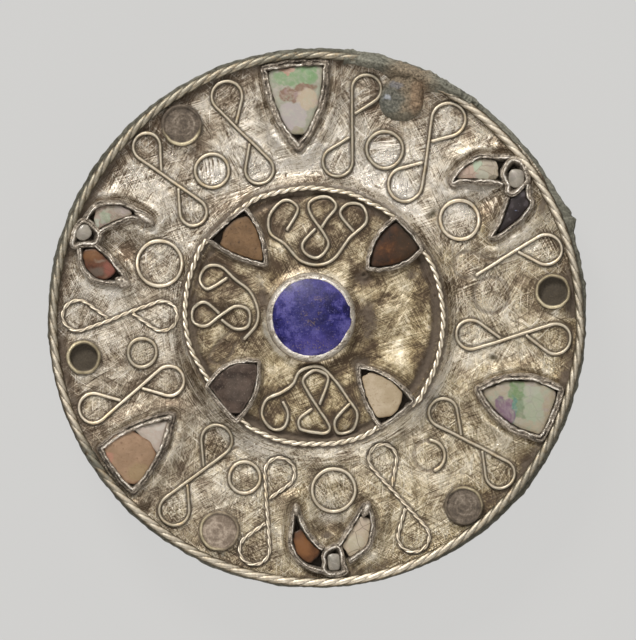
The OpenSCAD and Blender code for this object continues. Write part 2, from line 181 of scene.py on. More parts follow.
def sidePoints(p, q, bulge, steps=6):
    t = np.arange(steps)[:, None] / steps
    chord = q - p
    way = chord / np.linalg.norm(chord)
    return p + chord * t - np.array([-way[1], way[0]]) * 4 * bulge * t * (1 - t)


def wedge(row):
    first, second, tip = polar(row[0], row[1]), polar(row[2], row[3]), polar(row[4], row[5])
    return np.vstack([
        sidePoints(first, second, row[6]),
        sidePoints(second, tip, row[7]),
        sidePoints(tip, first, row[8]),
    ])


def areaOf(outline):
    x, y = outline[:, 0], outline[:, 1]
    return 0.5 * np.sum(x * np.roll(y, -1) - y * np.roll(x, -1))


def inset(outline, distance):  # the outline moved inwards, for one that turns anticlockwise
    back = unit(outline - np.roll(outline, 1, axis=0))
    ahead = unit(np.roll(outline, -1, axis=0) - outline)
    before = np.stack([-back[:, 1], back[:, 0]], -1)
    after = np.stack([-ahead[:, 1], ahead[:, 0]], -1)
    middle = unit(before + after)
    return outline + middle * distance / np.maximum(0.45, np.sum(middle * before, 1))[:, None]


def anticlockwise(outline):
    return outline if areaOf(outline) > 0 else outline[::-1]


def insideOf(x, y, outline):
    low, high = outline.min(0), outline.max(0)
    near = (x >= low[0]) & (x <= high[0]) & (y >= low[1]) & (y <= high[1])
    px, py = x[near], y[near]
    within = np.zeros(len(px), bool)
    for (ax, ay), (bx, by) in zip(outline, np.roll(outline, -1, axis=0)):
        if ay != by:
            crosses = (ay > py) != (by > py)
            within ^= crosses & (px < (bx - ax) * (py - ay) / (by - ay) + ax)
    found = np.zeros(len(x), bool)
    found[near] = within
    return found


def insideAny(x, y, outlines):
    within = np.zeros(len(x), bool)
    for outline in outlines:
        within |= insideOf(x, y, outline)
    return within


def nearTree(points):
    tree = kdtree.KDTree(len(points))
    for i, (x, y) in enumerate(points):
        tree.insert((x, y, 0), i)
    tree.balance()
    return tree


def gapTo(tree, x, y):
    return np.array([tree.find((px, py, 0))[2] for px, py in zip(x.tolist(), y.tolist())])


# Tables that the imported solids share

wireSpacing = 0.16  # between the points of a wire's middle line

loops = {
    "wire": 0.5,
    # length and size of the waves that the maker's hand left in a wire
    "waves": 3.0,
    "sway": 0.07,
    "tailShare": 0.36,
    "tailGap": 0.5,
    "broken": 5,
    "brokenShare": 0.97,
    # angle and radius of the outer loop, of the inner loop, the loops' own radii, the hand
    "rows": [
        [134.8, 33.4, 139.4, 22.5, 1.9, 1.85, -1],
        [112.1, 33.1, 111.1, 22, 2.1, 1.95, -1],
        [77.7, 32.4, 82.3, 21.8, 2, 2.05, -1],
        [56.4, 33, 56.5, 22.2, 2.3, 2.35, -1],
        [16.6, 33.2, 19.4, 22.1, 2.1, 1.85, -1],
        [355, 33.2, 353.9, 21.5, 2.1, 2, -1],
        [319.6, 33.3, 323.2, 21.9, 2, 1.95, -1],
        [293.9, 33.1, 295.2, 21.5, 2.15, 1.95, -1],
        [255, 33.2, 256.6, 22, 2.1, 2.1, -1],
        [233.5, 33.1, 230.8, 21.9, 2.1, 2.15, 1],
        [202, 33.3, 203.1, 22.2, 2.05, 2.05, -1],
        [179.4, 33, 179.2, 21.4, 2.15, 2.05, -1],
    ],
    "twisted": (8, 9, 12),  # wires whose twist still shows
}

circlets = {
    "wire": 0.55,
    "waves": 2.6,
    "sway": 0.09,
    # angle, radius, own radius, first and last degree, brightness of the floor inside
    "rows": [
        [160.8, 23, 3.1, 0, 360, 0.35],
        [34.4, 24, 2.68, 0, 360, 0.55],
        [275.6, 23.9, 2.97, 0, 360, 0.5],
        [125.4, 25, 2.33, 0, 360, 0.85],
        [68, 25.1, 2.5, 0, 360, 0.85],
        [309.3, 24.6, 2.12, -70, 86, 0.3],
        [245.6, 24.2, 2.17, 0, 360, 0.3],
        [191.3, 24.6, 1.95, 0, 360, 0.25],
    ],
}

cups = {
    "height": 1.2,
    # angle, radius, outer and inner radius, depth of the hollow, where the inner rings lie,
    # how bright the rim is as a painted highlight, how much more on one side as a painted glint, the angle
    # of that side, the paste's paleness
    "rows": [
        [125, 32.6, 2.85, 2.35, 0.3, (0.3, 0.1), -0.15, 0.9, 275, 0],
        [69.3, 32.6, 2.55, 2.05, 0.35, (0, 0), 0, 0, 0, 0],
        [6.4, 32.9, 2.45, 1.95, 1, (0, 0), 0.3, 0.4, 250, 0],
        [308.1, 33, 2.7, 2.25, 0.25, (0.25, 0.1), -0.05, 0.4, 60, 0],
        [245.4, 32.4, 2.8, 2.3, 0.28, (-0.5, -0.25), 0.1, 0.4, 200, 0.6],
        [189.6, 32.7, 2.4, 1.85, 1, (0, 0), 0.3, 0.3, 180, 0],
    ],
    "crusted": 2,
}

triCells = {
    "height": 1.7,
    "lean": 0.1,
    "thick": 1.08,
    "cleft": 0.75,
    # first outer corner, second outer corner, tip, then the bulge of each side
    "rows": [
        [88, 35.2, 101.8, 35.2, 96.2, 23.7, 0.3, 0.95, 1.2],
        [331.9, 35.2, 343.6, 35.2, 336.2, 24.5, 0.3, 1.7, 1.45],
        [211.1, 34.9, 223.4, 35, 214, 24.1, 0.4, 0.9, 0.75],
    ],
    "inward": [1.3, 1, 1.7],  # how far each wall leans over its slab
    # nicks in each wall: middle, reach, share of the height that is cut away
    "nicks": [
        [(-4.6, 26.6, 0.5, 0.2)],
        [(31.6, -9, 0.4, 0.25), (27, -8.4, 0.3, 0.15)],
        [(-20.4, -14.5, 0.5, 0.35)],
    ],
}

bossCells = {
    "height": 1.5,
    "lean": 0.05,
    "thick": 0.72,
    "cleft": 0.15,
    "rows": [
        [33.3, 17.4, 51.5, 17.6, 44.2, 9.9, 0.2, 1, 1.1],
        [123.4, 18.1, 143.9, 18.4, 133.7, 10.3, 0.2, 0.6, 0.8],
        [212.3, 17.8, 231.8, 18, 217, 10.1, 0.2, 1.05, 1.4],
        [300.6, 17.4, 319.1, 17.6, 310.9, 8.9, 0.2, 1, 0.7],
    ],
    "nicks": [[], [(-12.5, 13.2, 0.5, 0.2)], [(-11.4, -6.2, 1.5, 0.7)], [(11.4, -13.4, 1, 0.7)]],
}

nookCells = {
    "height": 1.734,
    "lean": 0.02,
    "thick": 0.74,
    "cleft": 0.3,
    "inward": 2.2,
}

leafCells = {
    "height": 1.7,
    "lean": 0.06,
    "thick": 0.74,
    "cleft": 0.3,
    "inward": 1.5,
    "tipShape": (0.5, 0.3, 0.2),  # dome, bevel and chips
    # where a leaf's tip is pressed into solid metal: group, middle, half length, half width, lean
    "tips": [
        [0, -23.75, 13.75, 1.6, 0.5, -32],
        [0, -26.8, 4.9, 0.8, 1.15, 68],
        [2, -2.85, -26.5, 0.42, 0.9, 6],
        [2, 6.85, -26.4, 0.55, 1.15, -22],
    ],
    # each leaf's wall from the corner by the rim, round the tip, to the corner at the apex
    "leaves": [
        [[163.6, 34.2], [166.4, 33.6], [168.5, 32.7], [170.2, 31.3], [170.6, 30.1],
         [170.2, 28.7], [169.8, 27.7], [168.8, 27], [167.3, 27.4], [165.5, 28.5],
         [163.6, 30], [162.4, 31.3], [161.7, 32.2]],
        [[156.9, 34.9], [154.6, 34.6], [152.4, 33.9], [150.9, 32.7], [149.8, 31.6],
         [149.4, 30.4], [149.2, 29], [148.9, 27.9], [149.2, 26.7], [150.6, 26.7],
         [150.4, 27.8], [151.6, 29.1], [153.5, 30.1], [155.5, 31.1], [157.2, 31.9],
         [158.7, 32.3]],
        [[39.7, 34.7], [41.5, 33.5], [43.5, 32.5], [45, 31.5], [45.6, 30.4],
         [46.1, 29.2], [46, 28], [45.9, 27], [45.2, 26.4], [44.3, 26.6],
         [43.6, 27.4], [41.4, 28.6], [39.2, 29.8], [37.4, 30.9], [35.6, 31.7]],
        [[32.3, 34.6], [31.2, 34.2], [29.8, 33.8], [28.4, 33.9], [27.4, 33.4],
         [26.1, 31.9], [25.2, 30.5], [24.8, 29.3], [24.3, 28.3], [24.2, 27.3],
         [24.9, 26.6], [25.7, 27], [26.7, 27.9], [28.1, 28.8], [29.6, 29.7],
         [30.9, 30.5], [32.2, 31.3]],
        [[277.6, 34], [279.8, 33.3], [282.2, 32.7], [283.5, 31.8], [284.5, 30.7],
         [285.3, 29.6], [285.5, 28.5], [285.2, 27.4], [284.5, 26.8], [283.7, 27],
         [281, 28.3], [279, 29.4], [277.2, 30.6], [275.5, 31.6]],
        [[271.6, 35.1], [269.6, 34.8], [267.4, 34.2], [265.5, 33.4], [264.3, 32.5],
         [263.6, 31.4], [263.3, 30.1], [263.3, 28.7], [263.3, 27.4], [263.7, 26.3],
         [264.5, 26.8], [265, 27.5], [265.9, 28.5], [267.1, 29.6], [268.5, 30.5],
         [270, 31.3], [271.6, 32]],
    ],
    # the small cell of each group
    "nooks": [
        [[163.4, 35.1], [161.9, 35.5], [160, 35.6], [158.2, 35.4], [157.2, 34.7],
         [157.6, 33.5], [158.8, 32.3], [160.2, 32.1], [161.7, 32.3], [162.4, 33.6]],
        [[38.9, 35.1], [36.6, 35.5], [34.2, 35.2], [32.9, 34.9], [32.6, 33.7],
         [32.2, 32.5], [33, 31.7], [34.8, 32.2], [36.4, 32.3], [38, 32.7],
         [38.9, 33.9]],
        [[276.5, 35.3], [275, 35.6], [273.1, 35.6], [271.8, 35.2], [271.9, 34],
         [271.8, 32.9], [272.6, 32.2], [274, 31.8], [275.4, 31.8], [275.9, 32.8],
         [276.2, 34.2]],
    ],
}

bossWire = 0.5
bossBends = (3.0, 0.04)  # length and size of the waves
bossWires = {
    "boss_wire_1": [
        [[-4.1, 12.2], [-2.6, 15.1], [-4.4, 16.3], [-6.45, 14.3], [-6.45, 11.8],
         [-4.4, 10.25], [-2.3, 8], [0.2, 7.3], [2.4, 8.2], [4.6, 11.1], [6.85, 13.3],
         [6.3, 15.5], [4.35, 15.8], [3.25, 14.4], [5.05, 12.05]],
        [[0.75, 12.6], [1.45, 13.7], [2.7, 15.4], [1.85, 16.6], [0.45, 16.75],
         [-1.05, 15.9], [-0.8, 14.25], [1, 11.65], [1.6, 10], [0.2, 8.3], [-1.6, 9],
         [-1.9, 10.4], [-0.2, 12.3]],
    ],
    "boss_wire_2": [
        [[-12.4, 5.55], [-15.05, 4], [-16.15, 5.25], [-15.3, 7.05], [-13.35, 7.2],
         [-11.3, 5.4], [-9.2, 3.6], [-8.1, 1.1], [-8.4, -1], [-10.05, -2.9]],
        [[-13.5, 0.7], [-15.45, 2.2], [-17.05, 1.25], [-17.05, -0.55], [-15.3, -1.1],
         [-13.35, 0.3], [-11.15, 1.65], [-9.35, 1], [-9.5, -1.1], [-11.3, -1.5],
         [-13.1, -0.3]],
    ],
    "boss_wire_3": [
        [[-4.65, -11.65], [-3.95, -13.3], [-4.5, -15.1], [-6.15, -15.35], [-7.55, -13.55],
         [-7, -11.35], [-4.8, -10.25], [-3.3, -9.15], [-2.45, -7.5], [-0.9, -6.75],
         [0.75, -6.9], [2.7, -8.85], [4.35, -11.2], [5.6, -13.3], [4.9, -15.5],
         [2.95, -15.9], [2.55, -14.1], [4.5, -11.9]],
        [[0.45, -11.9], [1.6, -8.5], [0.45, -7.35], [-0.65, -7.35], [-1.9, -8.6],
         [-1.2, -10.25], [0.2, -12.45], [1.3, -14.1], [1.85, -15.25], [1.3, -15.9],
         [0.2, -15.9], [-1.9, -15.5], [-2.45, -14.95], [-2.3, -13.85], [-0.65, -12.6]],
    ],
}

# The wire round the boss isn't a true circle: its middle line from the right, anticlockwise
bossRing = {
    "points": [
        [17.5, 0], [17.3, 2.2], [16.9, 4.4], [16.1, 6.9], [14.9, 9], [12.4, 12.2],
        [9.5, 14.8], [7.4, 15.9], [4.6, 17.2], [1.8, 17.7], [-0.9, 18], [-3.7, 17.7],
        [-6.4, 17.1], [-8.8, 16.2], [-12.6, 13.4], [-15.8, 10], [-16.8, 7.8],
        [-17.7, 5.2], [-18.1, 2.5], [-18.2, 0], [-17.9, -2.4], [-17.3, -4.5],
        [-16.3, -6.4], [-13.6, -10.6], [-9.6, -14.8], [-8.5, -15.5], [-5.7, -16.7],
        [-2.9, -17.3], [-0.2, -17.4], [2.5, -17.3], [5.3, -16.7], [7.4, -15.8],
        [11.2, -13.2], [13.9, -11.5], [15, -9.7], [16.2, -7.2], [17, -4.5],
        [17.4, -1.8],
    ],
    "strands": 2,
    "strandOffset": 0.165,
    "strand": 0.24,
    "turns": 41,
    "middleUp": 0.36,  # over the boss's sheet
    "shortest": 12,  # points of the shortest stretch between two cells
}

rim = {
    "radius": 36.4,
    "strands": 3,
    "strandOffset": 0.2,
    "strand": 0.46,
    "turns": 36,
    "points": 1296,
    # where it lies farther out or in, and where it is duller: amount, angle, width
    "shift": [
        [-0.42, 42, 22], [0.1, 108, 16], [0.2, 356, 8], [-0.14, 145, 13], [-0.22, 318, 18], [-0.1, 232, 12],
    ],
    "dull": [
        [0.15, 188, 22], [1, 70, 6], [0.9, 213, 6], [0.4, 4, 14], [0.3, 358, 12], [0.5, 82, 5],
        [0.1, 30, 14], [0.5, 96, 7], [0.35, 243, 28], [0.3, 175, 12], [0.7, 120, 40], [0.1, 52, 12],
        [0.65, 328, 20], [0.3, 298, 16], [0.4, 158, 12],
    ],
}

face = {
    "coveTop": 18.2,
    "coveFoot": 20.4,
    "southFoot": 1.0,  # how much wider the cove is below the boss
    "ridgeGap": 1.35,
    "ridgeHeight": 0.5,
    "pocketDepth": 0.55,
    "bossLimit": 18.0,  # inside it the sheet is the boss's
    "fieldStart": 17.5,
    "fieldEnd": 37.05,
    "fieldSectors": 1096,
    "fieldRings": 88,
    "bossStart": 0.4,
    "bossEnd": 17.65,
    "bossSectors": 460,
    "bossRings": 100,
    # hollows between the leaves: their angles, how far out, how deep, their size and the size of the grime
    # and painted shade in them
    "bowls": (160.3, 35.3, 274.2),
    "bowlOut": 29.2,
    "bowlDepth": 0.75,
    "bowlSize": (2.6, 2.1),
    "bowlGrimeAndShade": (2.4, 1.7),
    "bezelFoot": 6.0,
    "bezelLip": 0.55,
    "grooveOut": 16.75,
    "grooveDepth": 0.3,
    "stubs": ((6.56, 5.95), (6.15, -6.9)),  # of lost wires
    "stubHeight": 0.4,
    "stubRadius": 0.45,
    "printDepth": 0.09,
    "rimFoot": 34.2,  # from here the sheet rises to the rim, and beyond it rolls down
    "rimRise": 0.16,
    "rolledDepth": 0.55,
    "crumples": [[1, 7.1, -0.2, 2.4, 4.6], [0.8, -7.6, 3.6, 1.0, 2.2, 20]],
    "dents": [[0.45, 6.3, 5.6, 1.2, 1.0], [0.4, 6.0, -6.2, 1.4, 1.0], [0.12, 16.0, 14.4, 0.8, 0.5, 40],
              [0.2, 24.4, -5.4, 0.35, 0.3]],
}


def loopLine(row, whole=True, steps=34):
    outer, inner = polar(row[0], row[1]), polar(row[2], row[3])
    ra, rb, hand = row[4], row[5], row[6]
    between = inner - outer
    span = np.linalg.norm(between)
    lean = math.degrees(math.acos((ra + rb) / span))
    out = math.degrees(math.atan2(between[1], between[0])) + hand * lean
    run = span * math.sin(math.radians(lean))
    share = loops["tailShare"]
    onward = turnTo(out - 90 * hand)
    t = np.linspace(0, 1, steps)
    turnA = 360 - 2 * math.degrees(math.atan(share * run / ra))
    turnB = 360 - 2 * math.degrees(math.atan(share * run / rb))
    arcA = outer + ra * turnTo(out + hand * turnA * (1 - t))
    arcB = inner - rb * turnTo(out + hand * turnB * t)
    endA = outer + ra * turnTo(out) + share * run * onward
    endB = inner - rb * turnTo(out) - share * run * onward
    tailA = endA + loops["tailGap"] * (arcA[0] - endA) / np.linalg.norm(arcA[0] - endA)
    tailB = endB + loops["tailGap"] * (arcB[-1] - endB) / np.linalg.norm(arcB[-1] - endB)
    if whole:
        line = np.vstack([tailA, arcA, arcB, tailB])
    else:
        line = np.vstack([tailA, arcA, arcA[-1] + (arcB[0] - arcA[-1]) * loops["brokenShare"]])
    return line, np.vstack([arcA, endA]), np.vstack([arcB, endB]), np.vstack([arcB, tailB])


def wander(path, size, amount, seed):  # a hand-bent look for a line in the plane
    shift = np.stack([
        noise(path[:, 0], path[:, 1], 1, size, seed),
        noise(path[:, 0], path[:, 1], 5, size, seed),
    ], -1)
    return path + amount * shift


def wallPath(rows, closed=False):
    return smoothPath([polar(a, r) for a, r in rows], 6, closed)


loopPaths = []
loopFloors = []
for i, row in enumerate(loops["rows"]):
    path, floorA, floorB, lostEnd = loopLine(row, i != loops["broken"] - 1)
    loopPaths.append(wander(evenPath(path, wireSpacing), loops["waves"], loops["sway"], i))
    loopFloors += [floorA, floorB]
    if i == loops["broken"] - 1:
        lostLoop = evenPath(lostEnd, 0.2)

circletPaths = []
for i, row in enumerate(circlets["rows"]):
    turn = np.linspace(row[3], row[4], 90)[: 89 if row[4] == 360 else 90]
    path = polar(row[0], row[1]) + row[2] * turnTo(turn)
    circletPaths.append(wander(path, circlets["waves"], circlets["sway"], seeds["circlet"] + i))

cupMiddles = [polar(row[0], row[1]) for row in cups["rows"]]
triOutlines = [wedge(row) for row in triCells["rows"]]
bossOutlines = [wedge(row) for row in bossCells["rows"]]
leafPaths = [wallPath(rows) for rows in leafCells["leaves"]]
nookPaths = [wallPath(rows, True) for rows in leafCells["nooks"]]
ringPath = evenPath(smoothPath(bossRing["points"], 8, closed=True), 0.1, closed=True)
bossWirePaths = {
    name: [wander(evenPath(smoothPath(line), wireSpacing), *bossBends, seeds["bossWire"]) for line in lines]
    for name, lines in bossWires.items()
}

wireTree = nearTree(np.vstack(
    loopPaths + circletPaths + [p for paths in bossWirePaths.values() for p in paths]
))
fieldOutlines = [evenPath(o, 0.15, closed=True) for o in triOutlines + leafPaths + nookPaths]
wallTree = nearTree(np.vstack(fieldOutlines))
bossWallTree = nearTree(np.vstack([evenPath(o, 0.15, closed=True) for o in bossOutlines]))
cupTree = nearTree(np.vstack([
    middle + row[2] * turnTo(np.arange(0, 360, 3))
    for middle, row in zip(cupMiddles, cups["rows"])
]))

# What lost wires have left printed in the sheet
lostCirclet = np.array([24.2, 3.1]) + 2.45 * turnTo(np.arange(0, 360, 4))
lostDrop = smoothPath([[-11.3, -1.5], [-13.4, -3.2], [-14.8, -5.4], [-13.7, -6.3],
                       [-12.1, -5.4], [-11.2, -3.6]], 8)
openCirclet = circlets["rows"][5]
lostPart = polar(*openCirclet[:2]) + openCirclet[2] * turnTo(np.arange(86, 290, 4))
printTree = nearTree(np.vstack([lostLoop, lostCirclet, lostDrop, lostPart]))
ringTree = nearTree(ringPath)
print("lines of the wires and walls are ready")


def sheetHeight(x, y):  # height of the sheet metal under each point
    x, y = np.asarray(x, float), np.asarray(y, float)
    out = np.hypot(x, y)
    bossOut = np.hypot(x - bossMid[0], y - bossMid[1])
    bezelOut = np.hypot(x - bezelMid[0], y - bezelMid[1])
    inField = insideAny(x, y, fieldOutlines)
    inBoss = insideAny(x, y, bossOutlines)
    wallGap = gapTo(wallTree, x, y)
    bossWallGap = gapTo(bossWallTree, x, y)
    imprint = gapTo(printTree, x, y)
    rise = levels["boss"] - levels["field"]
    south = ease(-y / np.maximum(bossOut, 1.0), 0.35, 0.8)
    foot = face["coveFoot"] + face["southFoot"] * south
    cove = np.clip((foot - bossOut) / (foot - face["coveTop"]), 0, 1)
    z = levels["field"] + rise * cove ** (2.1 - 0.4 * south)
    onField = ease(bossOut, face["bossLimit"], 19.6)
    strength = 0.62 + 0.55 * noise(x, y, 0, 3.2, 3)
    crest = face["ridgeGap"] * (1 + 0.28 * noise(x, y, 0, 2.6, 17))
    inner = 0.4 + 0.6 * ease(wallGap, 0.5, crest)
    outer = bump(np.maximum(wallGap - crest, 0), 0, 1.15)
    z = z + ~inField * onField * face["ridgeHeight"] * strength * inner * outer
    for angle in face["bowls"]:
        bowl = spot(x, y, *polar(angle, face["bowlOut"]), *face["bowlSize"], angle)
        z = z - ~inField * face["bowlDepth"] * bowl
    z = z - (inField | inBoss) * face["pocketDepth"]
    lip = bump(bezelOut, face["bezelFoot"], 0.75) * (bezelOut > face["bezelFoot"])
    z = z + face["bezelLip"] * lip
    groove = bump(bossOut, face["grooveOut"], 0.42) * (bossWallGap > 0.3) * (bossOut < 17.4)
    z = z - face["grooveDepth"] * groove * ~inBoss
    ripple = fractal(x, y, 0, 6.5, 3, 1) * 0.11 + fractal(x, y, 0, 1.9, 2, 9) * 0.03
    ripple = ripple + 0.14 * noise(x, y, 0, 3.2, 5) * (bossOut < 17.0)
    z = z + ripple * ~(inField | inBoss)
    for stubX, stubY in face["stubs"]:
        z = z + face["stubHeight"] * bump(np.hypot(x - stubX, y - stubY), face["stubRadius"], 0.2)
    z = z - face["printDepth"] * bump(imprint, 0, 0.24)
    z = z + face["rimRise"] * np.clip((out - face["rimFoot"]) / 1.6, 0, 1) ** 2
    z = z - face["rolledDepth"] * ease(out, 36.75, face["fieldEnd"])
    z = z + spots(x, y, face["crumples"]) * fractal(x, y, 0, 0.9, 2, 21) * 0.16
    z = z - spots(x, y, face["dents"])
    return z, {"inField": inField, "inBoss": inBoss, "wallGap": wallGap,
               "bossWallGap": bossWallGap, "bossOut": bossOut, "out": out, "imprint": imprint}


# Meshes

def gridFaces(rows, columns, wrapRows=False, wrapColumns=True):
    r = np.arange(rows if wrapRows else rows - 1)[:, None]
    c = np.arange(columns if wrapColumns else columns - 1)[None, :]
    below, beside = (r + 1) % rows, (c + 1) % columns
    faces = np.stack([r * columns + c, below * columns + c, below * columns + beside,
                      r * columns + beside], -1)
    return faces.reshape(-1, 4).tolist()


def discFaces(rings, spokes):  # rings of points with the first one closed
    return gridFaces(rings, spokes) + [list(range(spokes))]


class Metalwork:  # vertices, faces and named values gathered for one piece
    def __init__(self):
        self.points = []
        self.faces = []
        self.values = {}
        self.count = 0

    def add(self, points, faces, **values):
        for name in set(values) | set(self.values):
            have = self.values.setdefault(name, [np.zeros(self.count)])
            have.append(np.broadcast_to(values.get(name, 0.0), len(points)))
        self.points.append(points)
        self.faces += [[i + self.count for i in f] for f in faces] if self.count else faces
        self.count += len(points)

    def build(self, name, finish, slot, *nodes):
        points = np.vstack(self.points) * mm
        mesh = bpy.data.meshes.new(name)
        mesh.from_pydata(points.tolist(), [], self.faces)
        for key, value in self.values.items():
            layer = mesh.attributes.new(key, "FLOAT", "POINT")
            layer.data.foreach_set("value", np.concatenate(value).astype(np.float32))
        mesh.shade_smooth()
        mesh.materials.append(finish)
        piece = bpy.data.objects.new(name, mesh)
        bpy.context.scene.collection.objects.link(piece)
        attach(piece, "root")
        if nodes:
            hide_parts(*nodes)


def tubeMesh(path, radius, sides=10, closed=False, capped=True):
    p = np.asarray(path, float)
    r = np.broadcast_to(radius, len(p)).astype(float)
    if not closed and capped:
        first = (p[0] - p[1]) / np.linalg.norm(p[0] - p[1])
        last = (p[-1] - p[-2]) / np.linalg.norm(p[-1] - p[-2])
        p = np.vstack([p[0] + first * r[0] * 0.5, p, p[-1] + last * r[-1] * 0.5])
        r = np.concatenate([[r[0] * 0.6], r, [r[-1] * 0.6]])
    way = wayAlong(p, closed)
    side = unit(np.cross(way, [0, 0, 1.0]))
    up = np.cross(side, way)
    a = full * np.arange(sides) / sides
    ring = np.cos(a)[None, :, None] * side[:, None] + np.sin(a)[None, :, None] * up[:, None]
    points = p[:, None] + r[:, None, None] * ring
    faces = gridFaces(len(p), sides, wrapRows=closed)
    if not closed:
        faces.append(list(range(sides)))
        faces.append([(len(p) - 1) * sides + i for i in reversed(range(sides))])
    lift = np.broadcast_to(0.5 + 0.5 * np.sin(a), (len(p), sides))
    return points.reshape(-1, 3), faces, lift.reshape(-1)


def twistedPaths(path, offset, turns, closed=False, strands=2):
    p = np.asarray(path, float)
    outward = unit(np.cross(wayAlong(p, closed), [0, 0, 1.0]))
    steps = np.linalg.norm(np.diff(p, axis=0), axis=1)
    run = np.concatenate([[0], np.cumsum(steps)])
    total = run[-1] + (np.linalg.norm(p[0] - p[-1]) if closed else 0)
    made = []
    for strand in range(strands):
        a = full * (turns * run / total + strand / strands)
        made.append(p + offset * (np.cos(a)[:, None] * outward
                                  + np.sin(a)[:, None] * np.array([0, 0, 1.0])))
    return made


def twistedMesh(piece, path, row, turns, closed=False, sides=10, **values):
    middle = np.asarray(path, float)
    offset, strand = row["strandOffset"], row["strand"]
    for line in twistedPaths(path, offset, turns, closed, row["strands"]):
        thick = strand * (1 + 0.05 * noise(line[:, 0], line[:, 1], 0, 1.3, 5))
        points, faces, lift = tubeMesh(line, thick, sides, closed, capped=False)
        count = len(points) // sides
        heart = np.repeat(middle[:count], sides, axis=0)
        away = np.linalg.norm(points - heart, axis=1) / (offset + strand)
        angle = math.pi / row["strands"]
        waist = offset * math.cos(angle) + math.sqrt(strand ** 2 - (offset * math.sin(angle)) ** 2)
        waist = waist / (offset + strand)
        # seam marks the crevices between strands, which the wire finish darkens
        seam = 1 - ease(away, waist + 0.01, waist + 0.3 * (1 - waist))
        outward = unit(heart[:, :2])
        outer = np.sum((points - heart)[:, :2] * outward, axis=1) / (offset + strand)
        repeated = {k: np.repeat(v, sides) if np.ndim(v) else v for k, v in values.items()}
        piece.add(points, faces, lift=lift, seam=seam, outer=outer, **repeated)


wallProfile = np.array([
    [0.6, -0.12], [0.56, 0.25], [0.51, 0.58], [0.44, 0.8], [0.34, 0.88], [0.22, 0.8],
    [0.11, 0.85], [0.0, 1.0], [-0.1, 0.97], [-0.16, 0.78], [-0.3, 0.4], [-0.5, -0.12],
])
crumpled = {
    "spacing": 0.13,
    "steps": 23,  # points of the profile once it is rounded
    "dents": 0.42,  # size of the small dents, then how deep they go sideways and upwards
    "dentDepth": 0.1,
    "dentLift": 0.09,
    "foldLift": 0.1,
    "gullyAt": 5,  # steps of the profile from the foot
    "gullyDepth": 0.3,
    "lipAt": 3.8,
    "lipTorn": 0.42,
    "innerFrom": (8.2, 10.5),
}

# Stretches of wall that are darker: amount, middle, half width and height, lean
darkerWalls = [
    [0.8, -28.6, -20.5, 1.6, 5.5, 38], [0.8, -21.2, -14.4, 1.4, 1.4], [1, 30.9, 16.2, 0.9, 2.2, -10],
    [1, 1.4, -30.2, 1.2, 0.7], [0.7, -7.4, 34, 1, 1.4], [0.5, -3, 35.2, 5, 0.6],
    [0.5, 1, 31, 0.8, 4.5, 8], [0.6, -22.5, -20, 0.8, 3.5, -30], [0.5, 34, -8.5, 1.4, 1],
]


def wallMesh(piece, path, closed, baseZ, cells, seed, inward=1.0, nicks=()):
    p = evenPath(path, crumpled["spacing"], closed)
    turn = 1 if areaOf(p if closed else np.vstack([p, p[:1]])) > 0 else -1
    way = wayAlong(p, closed)
    outward = np.stack([way[:, 1], -way[:, 0]], -1) * turn
    wallSteps = crumpled["steps"]
    corners = np.arange(len(wallProfile))
    steps = np.linspace(0, corners[-1], wallSteps)
    away = np.interp(steps, corners, wallProfile[:, 0])[None, :]
    away = np.where(away < 0, away * inward, away)
    up = np.interp(steps, corners, wallProfile[:, 1])[None, :]
    x, y = p[:, 0], p[:, 1]
    height, cleft = cells["height"], cells["cleft"]
    tall = height * (0.95 + 0.1 * noise(x, y, 2, 1.1, seed) + 0.08 * noise(x, y, 2, 0.38, seed + 4))
    for nickX, nickY, reach, cut in nicks:
        tall = tall - height * cut * spot(x, y, nickX, nickY, reach, reach)
    shift = 0.15 * noise(x, y, 7, 1.0, seed) + 0.09 * noise(x, y, 7, 0.34, seed)
    width = cells["thick"] * (1 + 0.2 * noise(x, y, 4, 1.6, seed + 9))
    free = np.clip(up, 0, 1)
    away = away * width[:, None] + (shift[:, None] - cells["lean"]) * free ** 1.4
    dents = noise(x[:, None] + away, y[:, None] + 0 * up, 1.5 * up, crumpled["dents"], seed + 6)
    folds = noise(x[:, None] * 0.4, y[:, None] * 0.4, steps[None, :] / 2.2, 1.0, seed + 8)
    away = away + crumpled["dentDepth"] * dents * (1.1 - free)
    split = cleft * np.clip(0.35 + 1.1 * noise(x, y, 3, 1.1, seed + 11), 0, 1)[:, None]
    gully = split * bump(steps[None, :], crumpled["gullyAt"], 0.95)
    outer = bump(steps[None, :], crumpled["lipAt"], 1.1)
    torn = noise(x, y, 6, 0.8, seed + 13)[:, None] - 0.4 * (1 - cleft)
    flat = p[:, None] + outward[:, None] * away[:, :, None]
    z = np.broadcast_to(baseZ, len(p))[:, None] + tall[:, None] * up
    z = z + (crumpled["dentLift"] * dents + crumpled["foldLift"] * folds) * free
    z = z - crumpled["gullyDepth"] * gully + crumpled["lipTorn"] * torn * outer
    points = np.concatenate([flat, z[:, :, None]], -1).reshape(-1, 3)
    faces = gridFaces(len(p), wallSteps, wrapRows=closed)
    if not closed:
        endStart = (len(p) - 1) * wallSteps
        faces += [list(range(wallSteps)), [endStart + i for i in reversed(range(wallSteps))]]
    if turn < 0:
        faces = [f[::-1] for f in faces]
    shape = (len(p), wallSteps)
    bent = np.clip(0.5 + 0.5 * dents + 0.5 * folds, 0, 1)
    # lift is how high up the wall a point lies, which the wall finish turns into a painted highlight
    piece.add(points, faces, lift=np.broadcast_to(free, shape).reshape(-1), bent=bent.reshape(-1),
              inner=np.broadcast_to(ease(steps, *crumpled["innerFrom"]), shape).reshape(-1),
              gully=gully.reshape(-1), sooty=np.repeat(spots(x, y, darkerWalls), wallSteps))


